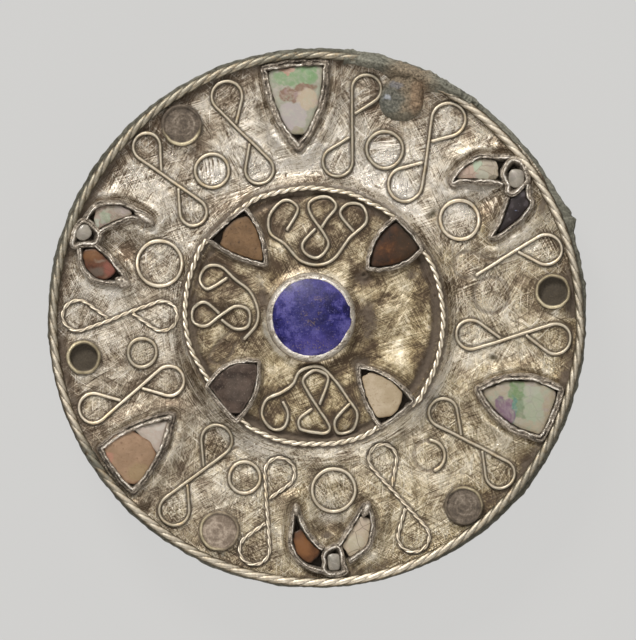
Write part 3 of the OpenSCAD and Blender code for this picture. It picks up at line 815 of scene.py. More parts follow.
def reachOf(centre, within, far=9.0, spokes=96):  # distance to the edge of a region, all round
    turn = full * np.arange(spokes) / spokes
    t = np.arange(0.02, far, 0.03)
    x = centre[0] + np.cos(turn)[:, None] * t
    y = centre[1] + np.sin(turn)[:, None] * t
    ok = within(x.reshape(-1), y.reshape(-1)).reshape(spokes, -1)
    return np.array([t[np.argmin(row)] if not row.all() else far for row in ok])


def stoneMesh(centre, reach, baseZ, topZ, dome=0.08, bevel=0.16, chip=0.05, seed=0, rings=20,
              tilt=(0, 0), pits=0.0):
    spokes = len(reach)
    turn = full * np.arange(spokes) / spokes
    rim = reach * (1 + chip * noise(np.cos(turn) * 4, np.sin(turn) * 4, seed, 0.9, seed))
    shares = np.concatenate([np.linspace(0.06, 0.84, rings - 7), [0.89, 0.93, 0.96, 0.985, 1, 1, 1]])
    drops = np.concatenate([np.zeros(rings - 6), [0.06, 0.18, 0.42, 0.8, 1.4, 99]])
    x = centre[0] + shares[:, None] * rim * np.cos(turn)
    y = centre[1] + shares[:, None] * rim * np.sin(turn)
    z = topZ + dome * (1 - shares[:, None] ** 2) - bevel * np.minimum(drops[:, None], 1.6)
    z = z + tilt[0] * (x - centre[0]) + tilt[1] * (y - centre[1])
    z = z + 0.02 * fractal(x, y, 0, 1.2, 2, seed) * (drops[:, None] < 1)
    if pits:
        z = z - pits * np.maximum(0, noise(x, y, 0, 0.28, seed + 2) - 0.45) * (drops[:, None] < 1)
    z[-1] = baseZ
    points = np.stack([x, y, z], -1).reshape(-1, 3)
    edge = np.broadcast_to(shares[:, None] ** 6, x.shape).reshape(-1)
    return points, discFaces(len(shares), spokes), edge


# Materials: sockets that can be added, multiplied and compared

class Value:
    def __init__(self, finish, socket):
        self.finish = finish
        self.socket = socket

    def maths(self, operation, *terms):
        return self.finish.node("ShaderNodeMath", {"operation": operation}, terms)

    def __add__(self, other):
        return self.maths("ADD", self, other)

    def __radd__(self, other):
        return self.maths("ADD", other, self)

    def __sub__(self, other):
        return self.maths("SUBTRACT", self, other)

    def __rsub__(self, other):
        return self.maths("SUBTRACT", other, self)

    def __mul__(self, other):
        return self.maths("MULTIPLY", self, other)

    def __rmul__(self, other):
        return self.maths("MULTIPLY", other, self)

    def __truediv__(self, other):
        return self.maths("DIVIDE", self, other)

    def __rtruediv__(self, other):
        return self.maths("DIVIDE", other, self)

    def __pow__(self, other):
        return self.maths("POWER", self, other)

    def larger(self, other):
        return self.maths("MAXIMUM", self, other)

    def between(self, low, high, start=0.0, end=1.0):  # eased from start to end
        return self.finish.node(
            "ShaderNodeMapRange", {"interpolation_type": "SMOOTHSTEP"},
            {"Value": self, "From Min": low, "From Max": high, "To Min": start, "To Max": end})


def strongest(first, *others):
    for other in others:
        first = first.larger(other)
    return first


class Finish:
    def __init__(self, name):
        self.material = bpy.data.materials.new(name)
        self.material.use_nodes = True
        self.tree = self.material.node_tree
        self.tree.nodes.clear()
        place = self.node("ShaderNodeTexCoord", output="Object")
        self.place = self.vector("SCALE", place, Scale=1000.0)

    def node(self, kind, settings=None, values=None, output=0):
        made = self.tree.nodes.new(kind)
        for key, value in (settings or {}).items():
            if key == "stops":
                ramp = made.color_ramp
                ramp.elements.remove(ramp.elements[1])
                ramp.elements[0].position = value[0][0]
                ramp.elements[0].color = (*value[0][1], 1)
                for at, colour in value[1:]:
                    ramp.elements.new(at).color = (*colour, 1)
            else:
                setattr(made, key, value)
        pairs = values.items() if isinstance(values, dict) else enumerate(values or ())
        for key, value in pairs:
            if isinstance(value, Value):
                self.tree.links.new(value.socket, made.inputs[key])
            else:
                made.inputs[key].default_value = value
        return Value(self, made.outputs[output])

    def vector(self, operation, *terms, **named):
        values = dict(enumerate(terms))
        values.update(named)
        return self.node("ShaderNodeVectorMath", {"operation": operation}, values)

    def mix(self, factor, first, second, blend="MIX"):
        values = {0: factor}
        for key, colour in ((6, first), (7, second)):
            values[key] = colour if isinstance(colour, Value) else (*colour, 1)
        return self.node("ShaderNodeMix", {"data_type": "RGBA", "blend_type": blend}, values, 2)

    def named(self, name):
        return self.node("ShaderNodeAttribute", {"attribute_name": name}, output="Fac")

    def grain(self, size, detail=4.0, roughness=0.55, vector=None, distortion=0.0):
        return self.node("ShaderNodeTexNoise", None, {
            "Vector": vector or self.place, "Scale": 1 / size, "Detail": detail,
            "Roughness": roughness, "Distortion": distortion})

    def colours(self, size):  # three noises at once
        return self.node("ShaderNodeTexNoise", None,
                         {"Vector": self.place, "Scale": 1 / size, "Detail": 2.0}, "Color")

    def warped(self, size, amount):
        bend = self.colours(size)
        bend = self.vector("SUBTRACT", bend, (0.5, 0.5, 0.5))
        return self.vector("MULTIPLY_ADD", bend, (amount,) * 3, self.place)

    def strokes(self, angle, length, width, vector=None, shift=0.0, detail=2.0):
        lines = self.node("ShaderNodeMapping", {"vector_type": "TEXTURE"}, {
            "Vector": vector or self.place, "Location": (shift, shift * 0.7, shift),
            "Rotation": (0, 0, math.radians(angle)), "Scale": (length, width, 1.0)})
        return self.grain(1.0, detail, 0.55, lines)

    def roundStrokes(self, length, width, radius):  # strokes that run round the disc
        x = self.node("ShaderNodeSeparateXYZ", None, [self.place], "X")
        y = self.node("ShaderNodeSeparateXYZ", None, [self.place], "Y")
        turn = y.maths("ARCTAN2", y, x) * (radius / length)
        out = (x * x + y * y) ** 0.5 / width
        lines = self.node("ShaderNodeCombineXYZ", None, [turn, out, 0.0])
        return self.grain(1.0, 2.0, 0.55, lines)

    def cracks(self, vector, scale, low, high):
        away = self.node("ShaderNodeTexVoronoi", {"feature": "DISTANCE_TO_EDGE"},
                         {"Vector": vector, "Scale": scale})
        return away.between(low, high, 1.0, 0.0)

    def patch(self, x, y, rx, ry, vector, soft=0.25):  # an oval patch with a warped edge
        away = self.vector("SUBTRACT", vector, (x, y, 0.0))
        away = self.vector("MULTIPLY", away, (1 / rx, 1 / ry, 0.0))
        away = self.node("ShaderNodeVectorMath", {"operation": "LENGTH"}, [away], "Value")
        return away.between(1 - soft, 1 + soft, 1.0, 0.0)

    def patched(self, colour, rows, vector, soft):  # rows of middle, half sizes, tint, amount
        for x, y, rx, ry, tint, amount in rows:
            colour = self.mix(self.patch(x, y, rx, ry, vector, soft) * amount, colour, tint)
        return colour

    def ramp(self, value, *stops):
        return self.node("ShaderNodeValToRGB", {"stops": stops}, [value])

    def finish(self, colour, roughness, metallic=0.0, height=None, depth=0.05, coat=0.0,
               coatRoughness=0.1, specular=0.5):
        values = {"Base Color": colour, "Roughness": roughness, "Metallic": metallic,
                  "Coat Weight": coat, "Coat Roughness": coatRoughness,
                  "Specular IOR Level": specular}
        if height is not None:
            values["Normal"] = self.node("ShaderNodeBump", None, {
                "Strength": 1.0, "Distance": depth * mm, "Height": height}, "Normal")
        surface = self.node("ShaderNodeBsdfPrincipled", None, values)
        out = self.tree.nodes.new("ShaderNodeOutputMaterial")
        self.tree.links.new(surface.socket, out.inputs["Surface"])
        return self.material


tones = {
    "brown": (0.105, 0.076, 0.054),
    "silver": (0.78, 0.72, 0.615),
    "white": (0.95, 0.91, 0.85),
    "cream": (0.9, 0.83, 0.71),
}


def giltSheet():
    f = Finish("gilt_sheet")
    bent = f.warped(11.0, 1.5)
    middle = f.grain(1.2, 5.0, 0.62, bent)
    fine = f.grain(0.26, 4.0, 0.6)
    clouds = f.grain(3.4, 5.0, 0.6)
    zones = f.colours(1 / 0.18)
    soft = f.grain(1.7, 2.0, 0.5, bent)
    brush = 0.0
    for channel, angle, shift in (("Red", 62, 0), ("Green", 118, 9), ("Blue", 17, 21)):
        zone = f.node("ShaderNodeSeparateColor", None, [zones], channel).between(0.44, 0.6)
        brush = (f.strokes(angle, 5.0, 0.11, bent, shift, 2) - 0.5) * zone + brush
    nearWall = f.named("wallGap").between(0.3, 2.4, 1.0, 0.0)
    spaced = f.vector("MULTIPLY", bent, (0.4, 0.4, 0.0))
    gap = f.node("ShaderNodeCombineXYZ", None, [0.0, 0.0, f.named("wallGap") / 0.15])
    along = f.grain(1.0, 2.0, 0.55, f.vector("ADD", spaced, gap))
    brush = brush * (1 - nearWall * 0.4) + (along - 0.5) * 0.9 * nearWall

    def marks(rows, width, low, high):  # single strokes, each row an angle, a length and a shift
        return strongest(*(f.strokes(angle, length, width, bent, shift).between(low, high)
                           for angle, length, shift in rows))

    light = marks([[85, 5.0, 81], [140, 5.4, 93], [40, 5.4, 13]], 0.09, 0.59, 0.66)
    dark = marks([[30, 5.0, 33], [154, 4.4, 45]], 0.09, 0.6, 0.66)
    hairs = marks([[98, 9.0, 57], [23, 9.0, 69]], 0.08, 0.62, 0.65)
    around = f.roundStrokes(3.6, 0.16, 20.0)
    cove, shine, grime, gold, floor, pocket, crest, worn, onBoss, stain = map(f.named, (
        "cove", "shine", "grime", "gold", "floor", "pocket", "crest", "worn", "boss", "stain"))
    brush = brush * worn
    patchy = clouds.between(0.38, 0.62) * worn
    brushed = light * (patchy + 0.25) * (1 - onBoss * 0.6)
    hairs = hairs * (1 - onBoss * 0.6)
    tone = 0.465 + brush * 1.75 + (middle - 0.5).larger(-0.12) * 0.75 + (fine - 0.5) * 0.62
    tone = tone + (clouds - 0.5).larger(-0.12) * 1.6 + brushed * 0.7
    tone = tone - dark * 0.34 * (1.2 - patchy * 0.6) - hairs * 0.28
    # shine adds painted highlights and painted shade to the tone, and crest a painted highlight on the
    # ridges
    tone = tone + (around - 0.5) * 2.2 * cove + shine * 0.5 - grime * 0.34 + crest * 0.3 * patchy
    upright = f.strokes(97, 2.4, 0.22, f.warped(1.3, 0.35), 5, 3).between(0.4, 0.6) - 0.5
    level = f.strokes(4, 2.8, 0.15, f.warped(1.5, 0.3), 15, 3).between(0.4, 0.6) - 0.5
    scored = upright * f.named("upright") + level * f.named("level")
    tone = tone + floor * (fine - 0.5) * 0.8 + scored
    tone = tone - onBoss * (f.named("wireGap").between(0.0, 0.8, 0.26, 0.05) - (clouds - 0.5) * 0.8)
    silver = f.ramp(tone, (0.0, tones["brown"]), (0.28, (0.27, 0.217, 0.165)),
                    (0.5, (0.49, 0.425, 0.335)), (0.75, tones["silver"]), (1.0, tones["white"]))
    warm = f.ramp(tone, (0.0, tones["brown"]), (0.28, (0.265, 0.205, 0.115)),
                  (0.5, (0.5, 0.42, 0.265)), (0.75, (0.77, 0.68, 0.5)), (1.0, (0.94, 0.88, 0.75)))
    yellow = (gold + (clouds - 0.5) * 0.9 + (middle - 0.5) * 0.5).between(0.2, 1.0)
    colour = f.mix(yellow, silver, warm)
    edge = f.grain(0.5, 4.0, 0.65)
    wire = f.named("wireGap") - (edge - 0.42) * 0.7
    line = wire.between(0.0, 0.28, 1.0, 0.0) * middle.between(0.3, 0.6, 0.45, 1.0)
    wall = f.named("wallGap") - (edge - 0.42) * 0.7
    seam = wall.between(0.25, 0.6, 1.0, 0.0) * middle.between(0.35, 0.6, 0.1, 0.7)
    # painted shade on the slope between a wall and the ridge round it
    paintedSlopeShade = wall.between(0.5, 1.3, 0.16, 0.0)
    # darker next to the boss ring: grime in its groove and painted shade
    ring = (f.named("ringGap") - (edge - 0.42)).between(0.05, 0.5, 0.85, 0.0)
    lost = (f.named("printGap") - (edge - 0.42) * 0.5).between(0.08, 0.36, 0.55, 0.0)
    patches = grime + (edge - 0.5) * 0.9 + (middle - 0.5) * 1.3 + brush * 1.2
    specks = f.grain(0.7, 3.0, 0.7, bent).between(0.66, 0.74)
    # tarnish beside wires and walls, prints of lost wires, specks, grime and painted shade, mixed to one
    # dark colour
    dirtAndShade = strongest(line * 0.8, seam * 0.7, ring, lost, patches.between(0.5, 1.2) * 0.9, specks * 0.5)
    lilac = f.mix(edge, (0.075, 0.055, 0.04), (0.2, 0.16, 0.125))
    olive = f.mix(middle.between(0.3, 0.7), (0.1, 0.08, 0.05), (0.3, 0.25, 0.165))
    colour = f.mix(paintedSlopeShade, colour, olive)
    colour = f.mix(dirtAndShade, colour, lilac)
    colour = f.mix(stain, colour, f.mix(edge, (0.035, 0.03, 0.02), (0.12, 0.1, 0.055)))
    colour = f.mix(pocket, colour, f.mix(edge, (0.018, 0.013, 0.01), (0.1, 0.078, 0.06)))
    sooty = strongest(dirtAndShade, stain, pocket)
    rough = 0.44 - (tone - 0.5) * 0.14 + sooty * 0.3 + paintedSlopeShade * 0.08
    height = brush * 0.4 + soft * 1.3 + middle * 0.25 + brushed * 0.15 - dark * 0.2 - hairs * 0.15
    height = height + around * 0.8 * cove - dirtAndShade * 0.3 + floor * fine * 0.15
    return f.finish(colour, rough, 1.0 - sooty * 0.7, height, 0.12)


def wornWire(name, light, shade, gold=0.2, dull=0.0, depth=0.05, outerShade=0.0):
    f = Finish(name)
    fine = f.grain(0.28, 4.0, 0.6)
    spots = f.grain(0.9, 5.0, 0.65)
    lift, seam = f.named("lift"), f.named("seam")
    # painted highlight along the top of the wire, with its sides left darker
    tone = lift.between(0.5, 1.0) * 0.92 + (spots - 0.5) * 1.1 + (fine - 0.5) * 0.6 - dull
    # the outer side of the rim wire is given painted shade
    tone = tone - f.named("dull") * 0.4 - f.named("outer").between(0.3, 0.9) * outerShade
    colour = f.ramp(tone, (0.0, shade), (0.4, (0.33, 0.27, 0.185)), (0.75, light),
                    (1.0, tones["cream"]))
    warm = f.mix(1.0, colour, (1.0, 0.87, 0.62), "MULTIPLY")
    colour = f.mix((f.grain(2.5, 3.0, 0.6) + (gold - 0.5)).between(0.35, 0.75), colour, warm)
    green = f.mix(spots, (0.1, 0.1, 0.08), (0.33, 0.32, 0.265))
    colour = f.mix(f.named("dull") * spots.between(0.3, 0.55), colour, green)
    # dirtAndShade: painted shade on the wire's flanks and underside, and dirt with painted shade in the
    # seams between strands
    dirtAndShade = seam.larger(lift.between(0.3, 0.64, 1.0, 0.0)) * spots.between(0.2, 0.5, 0.4, 1.0)
    colour = f.mix(dirtAndShade * 0.85, colour, (0.06, 0.045, 0.03))
    rough = 0.5 + dirtAndShade * 0.3 + (1 - tone) * 0.1
    return f.finish(colour, rough, 1.0 - dirtAndShade * 0.7, fine * 0.5 + spots, depth)


def wallMetal():
    f = Finish("wall_silver")
    fine = f.grain(0.26, 4.0, 0.62)
    spots = f.grain(0.8, 5.0, 0.65)
    along = f.strokes(40, 1.6, 0.12, f.warped(3.0, 1.5))
    lift, inner = f.named("lift"), f.named("inner")
    highlightPatches = f.grain(1.5, 3.0, 0.6).between(0.4, 0.58, 0.2, 1.0)
    cracks = f.strokes(20, 1.2, 0.1, f.warped(1.2, 1.2)).between(0.56, 0.64)
    # painted highlight along the top of each wall, in patches
    tone = 0.52 + lift.between(0.8, 1.0) * 0.62 * highlightPatches + (spots - 0.5) * 1.5 + (fine - 0.5) * 1.4
    tone = tone + (along - 0.5) * 0.7 + (f.named("bent") - 0.5) * 0.4
    # the gully along the wall's top is darkened as painted shade
    tone = tone - f.named("gully") * 0.35 - cracks * 0.3 - f.named("sooty") * 0.45
    colour = f.ramp(tone, (0.0, (0.06, 0.048, 0.038)), (0.3, (0.23, 0.195, 0.16)),
                    (0.55, (0.42, 0.37, 0.31)), (0.8, (0.68, 0.62, 0.54)), (1.0, tones["white"]))
    shadow = inner * (1 - lift)
    colour = f.mix(shadow * 0.55, colour, (0.1, 0.08, 0.065))
    rough = 0.64 - tone * 0.16
    return f.finish(colour, rough, 0.25 + tone.between(0.3, 0.8) * 0.55, fine + spots * 0.8 - cracks, 0.15)


def crusted(name, patches=(), shade=(1.0, 1.0, 1.0)):
    f = Finish(name)
    coarse = f.grain(1.6, 6.0, 0.65)
    fine = f.grain(0.35, 5.0, 0.65)
    tone = coarse * 0.45 + fine * 0.55
    colour = f.ramp(tone, (0.3, (0.022, 0.021, 0.017)), (0.42, (0.098, 0.098, 0.078)),
                    (0.55, (0.215, 0.214, 0.178)), (0.72, (0.44, 0.43, 0.36)))
    colour = f.mix(1 - f.named("pale"), colour, f.mix(1.0, colour, shade, "MULTIPLY"))
    blobs = f.warped(1.6, 1.8)
    for x, y, rx, ry, first, second, amount in patches:
        tint = f.mix(fine.between(0.3, 0.7), first, second)
        colour = f.mix(f.patch(x, y, rx, ry, blobs, 0.35) * amount, colour, tint)
    return f.finish(colour, 0.86 - tone * 0.2, 0.0, coarse + fine, 0.16, specular=0.3)


def pasteDisc(name):
    f = Finish(name)
    coarse = f.grain(1.1, 5.0, 0.6)
    fine = f.grain(0.22, 4.0, 0.6)
    lift, hollow = f.named("lift"), f.named("hollow")
    # lift carries the rim's painted highlight and its glinting side
    metalTone = lift + (coarse - 0.5) * 0.9
    paste = f.ramp((coarse - 0.5) + (fine - 0.5) * 0.7 + 0.45 + f.named("ring") * 0.24,
                   (0.2, (0.035, 0.026, 0.019)), (0.5, (0.12, 0.094, 0.071)),
                   (0.7, (0.22, 0.182, 0.145)), (0.95, (0.38, 0.33, 0.27)))
    chalk = (coarse + (fine - 0.5) * 0.5 + f.named("ring") * 0.2).between(0.35, 0.75)
    paste = f.mix(f.named("pale"), paste, f.mix(chalk, (0.24, 0.185, 0.14), (0.54, 0.45, 0.37)))
    paste = f.mix(hollow, paste, f.mix(fine, (0.012, 0.01, 0.008), (0.1, 0.078, 0.05)))
    wall = f.ramp(metalTone, (0.2, (0.05, 0.04, 0.028)), (0.6, (0.34, 0.29, 0.19)),
                  (0.95, (0.66, 0.59, 0.42)))
    metalShare = f.named("metal")
    colour = f.mix(metalShare, paste, wall)
    return f.finish(colour, 0.72 - metalShare * 0.25, metalShare * 0.85, coarse + fine, 0.07)


def blueStone():
    f = Finish("blue_stone")
    cloud = f.grain(2.4, 5.0, 0.6, f.warped(3.0, 1.6))
    fine = f.grain(0.35, 4.0, 0.6)
    colour = f.ramp(cloud, (0.4, (0.005, 0.005, 0.045)), (0.5, (0.027, 0.025, 0.155)),
                    (0.6, (0.11, 0.1, 0.33)))
    # painted sheen along the top of the dome
    sheen = f.patch(-1.2, 3.9, 3.6, 1.6, f.warped(3.0, 1.2), 0.7)
    colour = f.mix(sheen * 0.4, colour, (0.13, 0.12, 0.34))
    middle = f.patch(-1.3, 0.4, 3.0, 2.6, f.warped(3.0, 1.2), 0.7)
    colour = f.mix(middle * 0.7, colour, (0.016, 0.015, 0.12))
    low = f.patch(0.4, -3.6, 3.4, 1.5, f.warped(2.0, 1.0), 0.7)
    colour = f.mix(low * 0.4, colour, (0.11, 0.09, 0.36))
    tiny = f.grain(0.22, 3.0, 0.6)
    flecks = tiny.between(0.63, 0.69) * f.grain(1.9, 3.0, 0.6).between(0.47, 0.6)
    lowFlecks = tiny.between(0.58, 0.66) * f.patch(-0.2, -3.9, 2.6, 0.9, f.warped(1.0, 0.8), 0.5)
    veins = f.grain(0.8, 5.0, 0.7, f.warped(1.1, 0.9)).between(0.53, 0.6)
    veins = veins * f.patch(-0.1, 0.6, 1.7, 2.3, f.warped(1.2, 0.8), 0.6)
    gold = strongest(flecks, lowFlecks, veins * tiny.between(0.44, 0.56) * 0.75) * 0.85
    colour = f.mix(tiny.between(0.32, 0.44, 0.65, 0.0), colour, (0.008, 0.007, 0.035))
    colour = f.mix(tiny.between(0.56, 0.7, 0.0, 0.55), colour, (0.17, 0.16, 0.4))
    colour = f.mix(gold, colour, (0.26, 0.19, 0.09))
    # darker round the whole rim: painted shade where the stone dips into the bezel
    chip = f.named("edge")
    colour = f.mix(chip * fine.between(0.4, 0.6) * 0.7, colour, (0.03, 0.022, 0.12))
    return f.finish(colour, 0.26 + fine * 0.22 + gold * 0.2, 0.0, cloud * 0.4 + fine * 0.7 - gold, 0.07,
                    coat=0.06, coatRoughness=0.2, specular=0.25)


def pittedStone(name, low, high, pit, rough=0.6, gloss=0.0, size=0.32, patches=(), specular=0.5):
    f = Finish(name)
    cloud = f.grain(1.8, 5.0, 0.6)
    fine = f.grain(size, 4.0, 0.6)
    colour = f.mix(cloud.between(0.3, 0.7), low, high)
    colour = f.patched(colour, patches, f.warped(1.3, 1.0), 0.25)
    colour = f.mix(fine.between(0.56, 0.7) * 0.75, colour, pit)
    # painted shade round the edge, where the stone meets its wall
    edge = f.named("edge")
    colour = f.mix(edge.between(0.5, 1.0) * 0.6, colour, pit)
    return f.finish(colour, rough + (fine - 0.5) * 0.3, 0.0, cloud * 0.3 + fine, 0.08, coat=gloss,
                    specular=specular)


def glassStone(name, deep, bright, glow, patches=(), rough=0.2, cracks=0.0):
    f = Finish(name)
    bent = f.warped(1.4, 1.2)
    cloud = f.grain(1.5, 4.0, 0.6, bent)
    fine = f.grain(0.3, 4.0, 0.65)
    colour = f.ramp(cloud, (0.3, deep), (0.55, bright), (0.75, glow))
    colour = f.patched(colour, patches, bent, 0.5)
    colour = f.mix(fine.between(0.6, 0.7) * 0.4, colour, glow)
    if cracks:
        colour = f.mix(f.cracks(bent, 0.9, 0.015, 0.05) * cracks, colour, (0.05, 0.04, 0.03))
    # painted shade round the edge, where the stone meets its wall
    colour = f.mix(f.named("edge").between(0.25, 1.0) * 0.8, colour, (0.02, 0.014, 0.01))
    return f.finish(colour, rough + fine * 0.3, 0.0, cloud * 0.5 + fine * 0.5, 0.08, coat=0.06,
                    specular=0.3)


def pearlStone(name, base, patches, veil=0.35, cracks=0.0, age=(0.76, 0.735, 0.7)):
    f = Finish(name)
    bent = f.warped(1.0, 1.5)
    cloud = f.grain(1.3, 4.0, 0.6, bent)
    fine = f.grain(0.3, 4.0, 0.6)
    colour = f.mix(cloud.between(0.3, 0.7), *base)
    colour = f.patched(colour, patches, bent, 0.12)
    sheen = f.grain(0.8, 3.0, 0.5, f.warped(2.2, 3.0)).between(0.4, 0.65)
    shift = f.ramp(f.grain(1.7, 3.0, 0.5, bent), (0.35, (0.62, 0.5, 0.62)), (0.5, (0.7, 0.66, 0.58)),
                   (0.65, (0.46, 0.64, 0.52)))
    colour = f.mix(sheen * veil, colour, shift)
    lines = f.strokes(-35, 4.0, 0.1, bent).between(0.58, 0.66)
    colour = f.mix(lines * 0.25, colour, (0.82, 0.8, 0.76))
    if cracks:
        gaps = f.cracks(f.warped(2.0, 0.6), 0.5, 0.01, 0.04)
        colour = f.mix(gaps * cracks, colour, (0.13, 0.095, 0.06))
    colour = f.mix(1.0, colour, age, "MULTIPLY")
    # painted shade round the edge, where the stone meets its wall
    colour = f.mix(f.named("edge").between(0.72, 1.0) * 0.55, colour, (0.12, 0.095, 0.07))
    return f.finish(colour, 0.34 + fine * 0.3, 0.0, cloud * 0.3 + fine * 0.4 + lines * 0.2, 0.05, coat=0.4,
                    coatRoughness=0.15)


def plainMetal(name, low, high, metallic, rough):
    f = Finish(name)
    coarse = f.grain(2.4, 6.0, 0.65)
    fine = f.grain(0.4, 4.0, 0.6)
    strokes = f.strokes(0, 4.0, 0.2)
    tone = (coarse * 0.6 + fine * 0.2 + strokes * 0.2).between(0.3, 0.68)
    colour = f.mix(tone, low, high)
    green = f.grain(3.1, 4.0, 0.6, f.warped(3.0, 2.0)).between(0.58, 0.68)
    colour = f.mix(green * 0.7, colour, (0.13, 0.17, 0.12))
    return f.finish(colour, rough - tone * 0.15 + green * 0.2, (1 - green) * metallic, coarse + fine, 0.12)


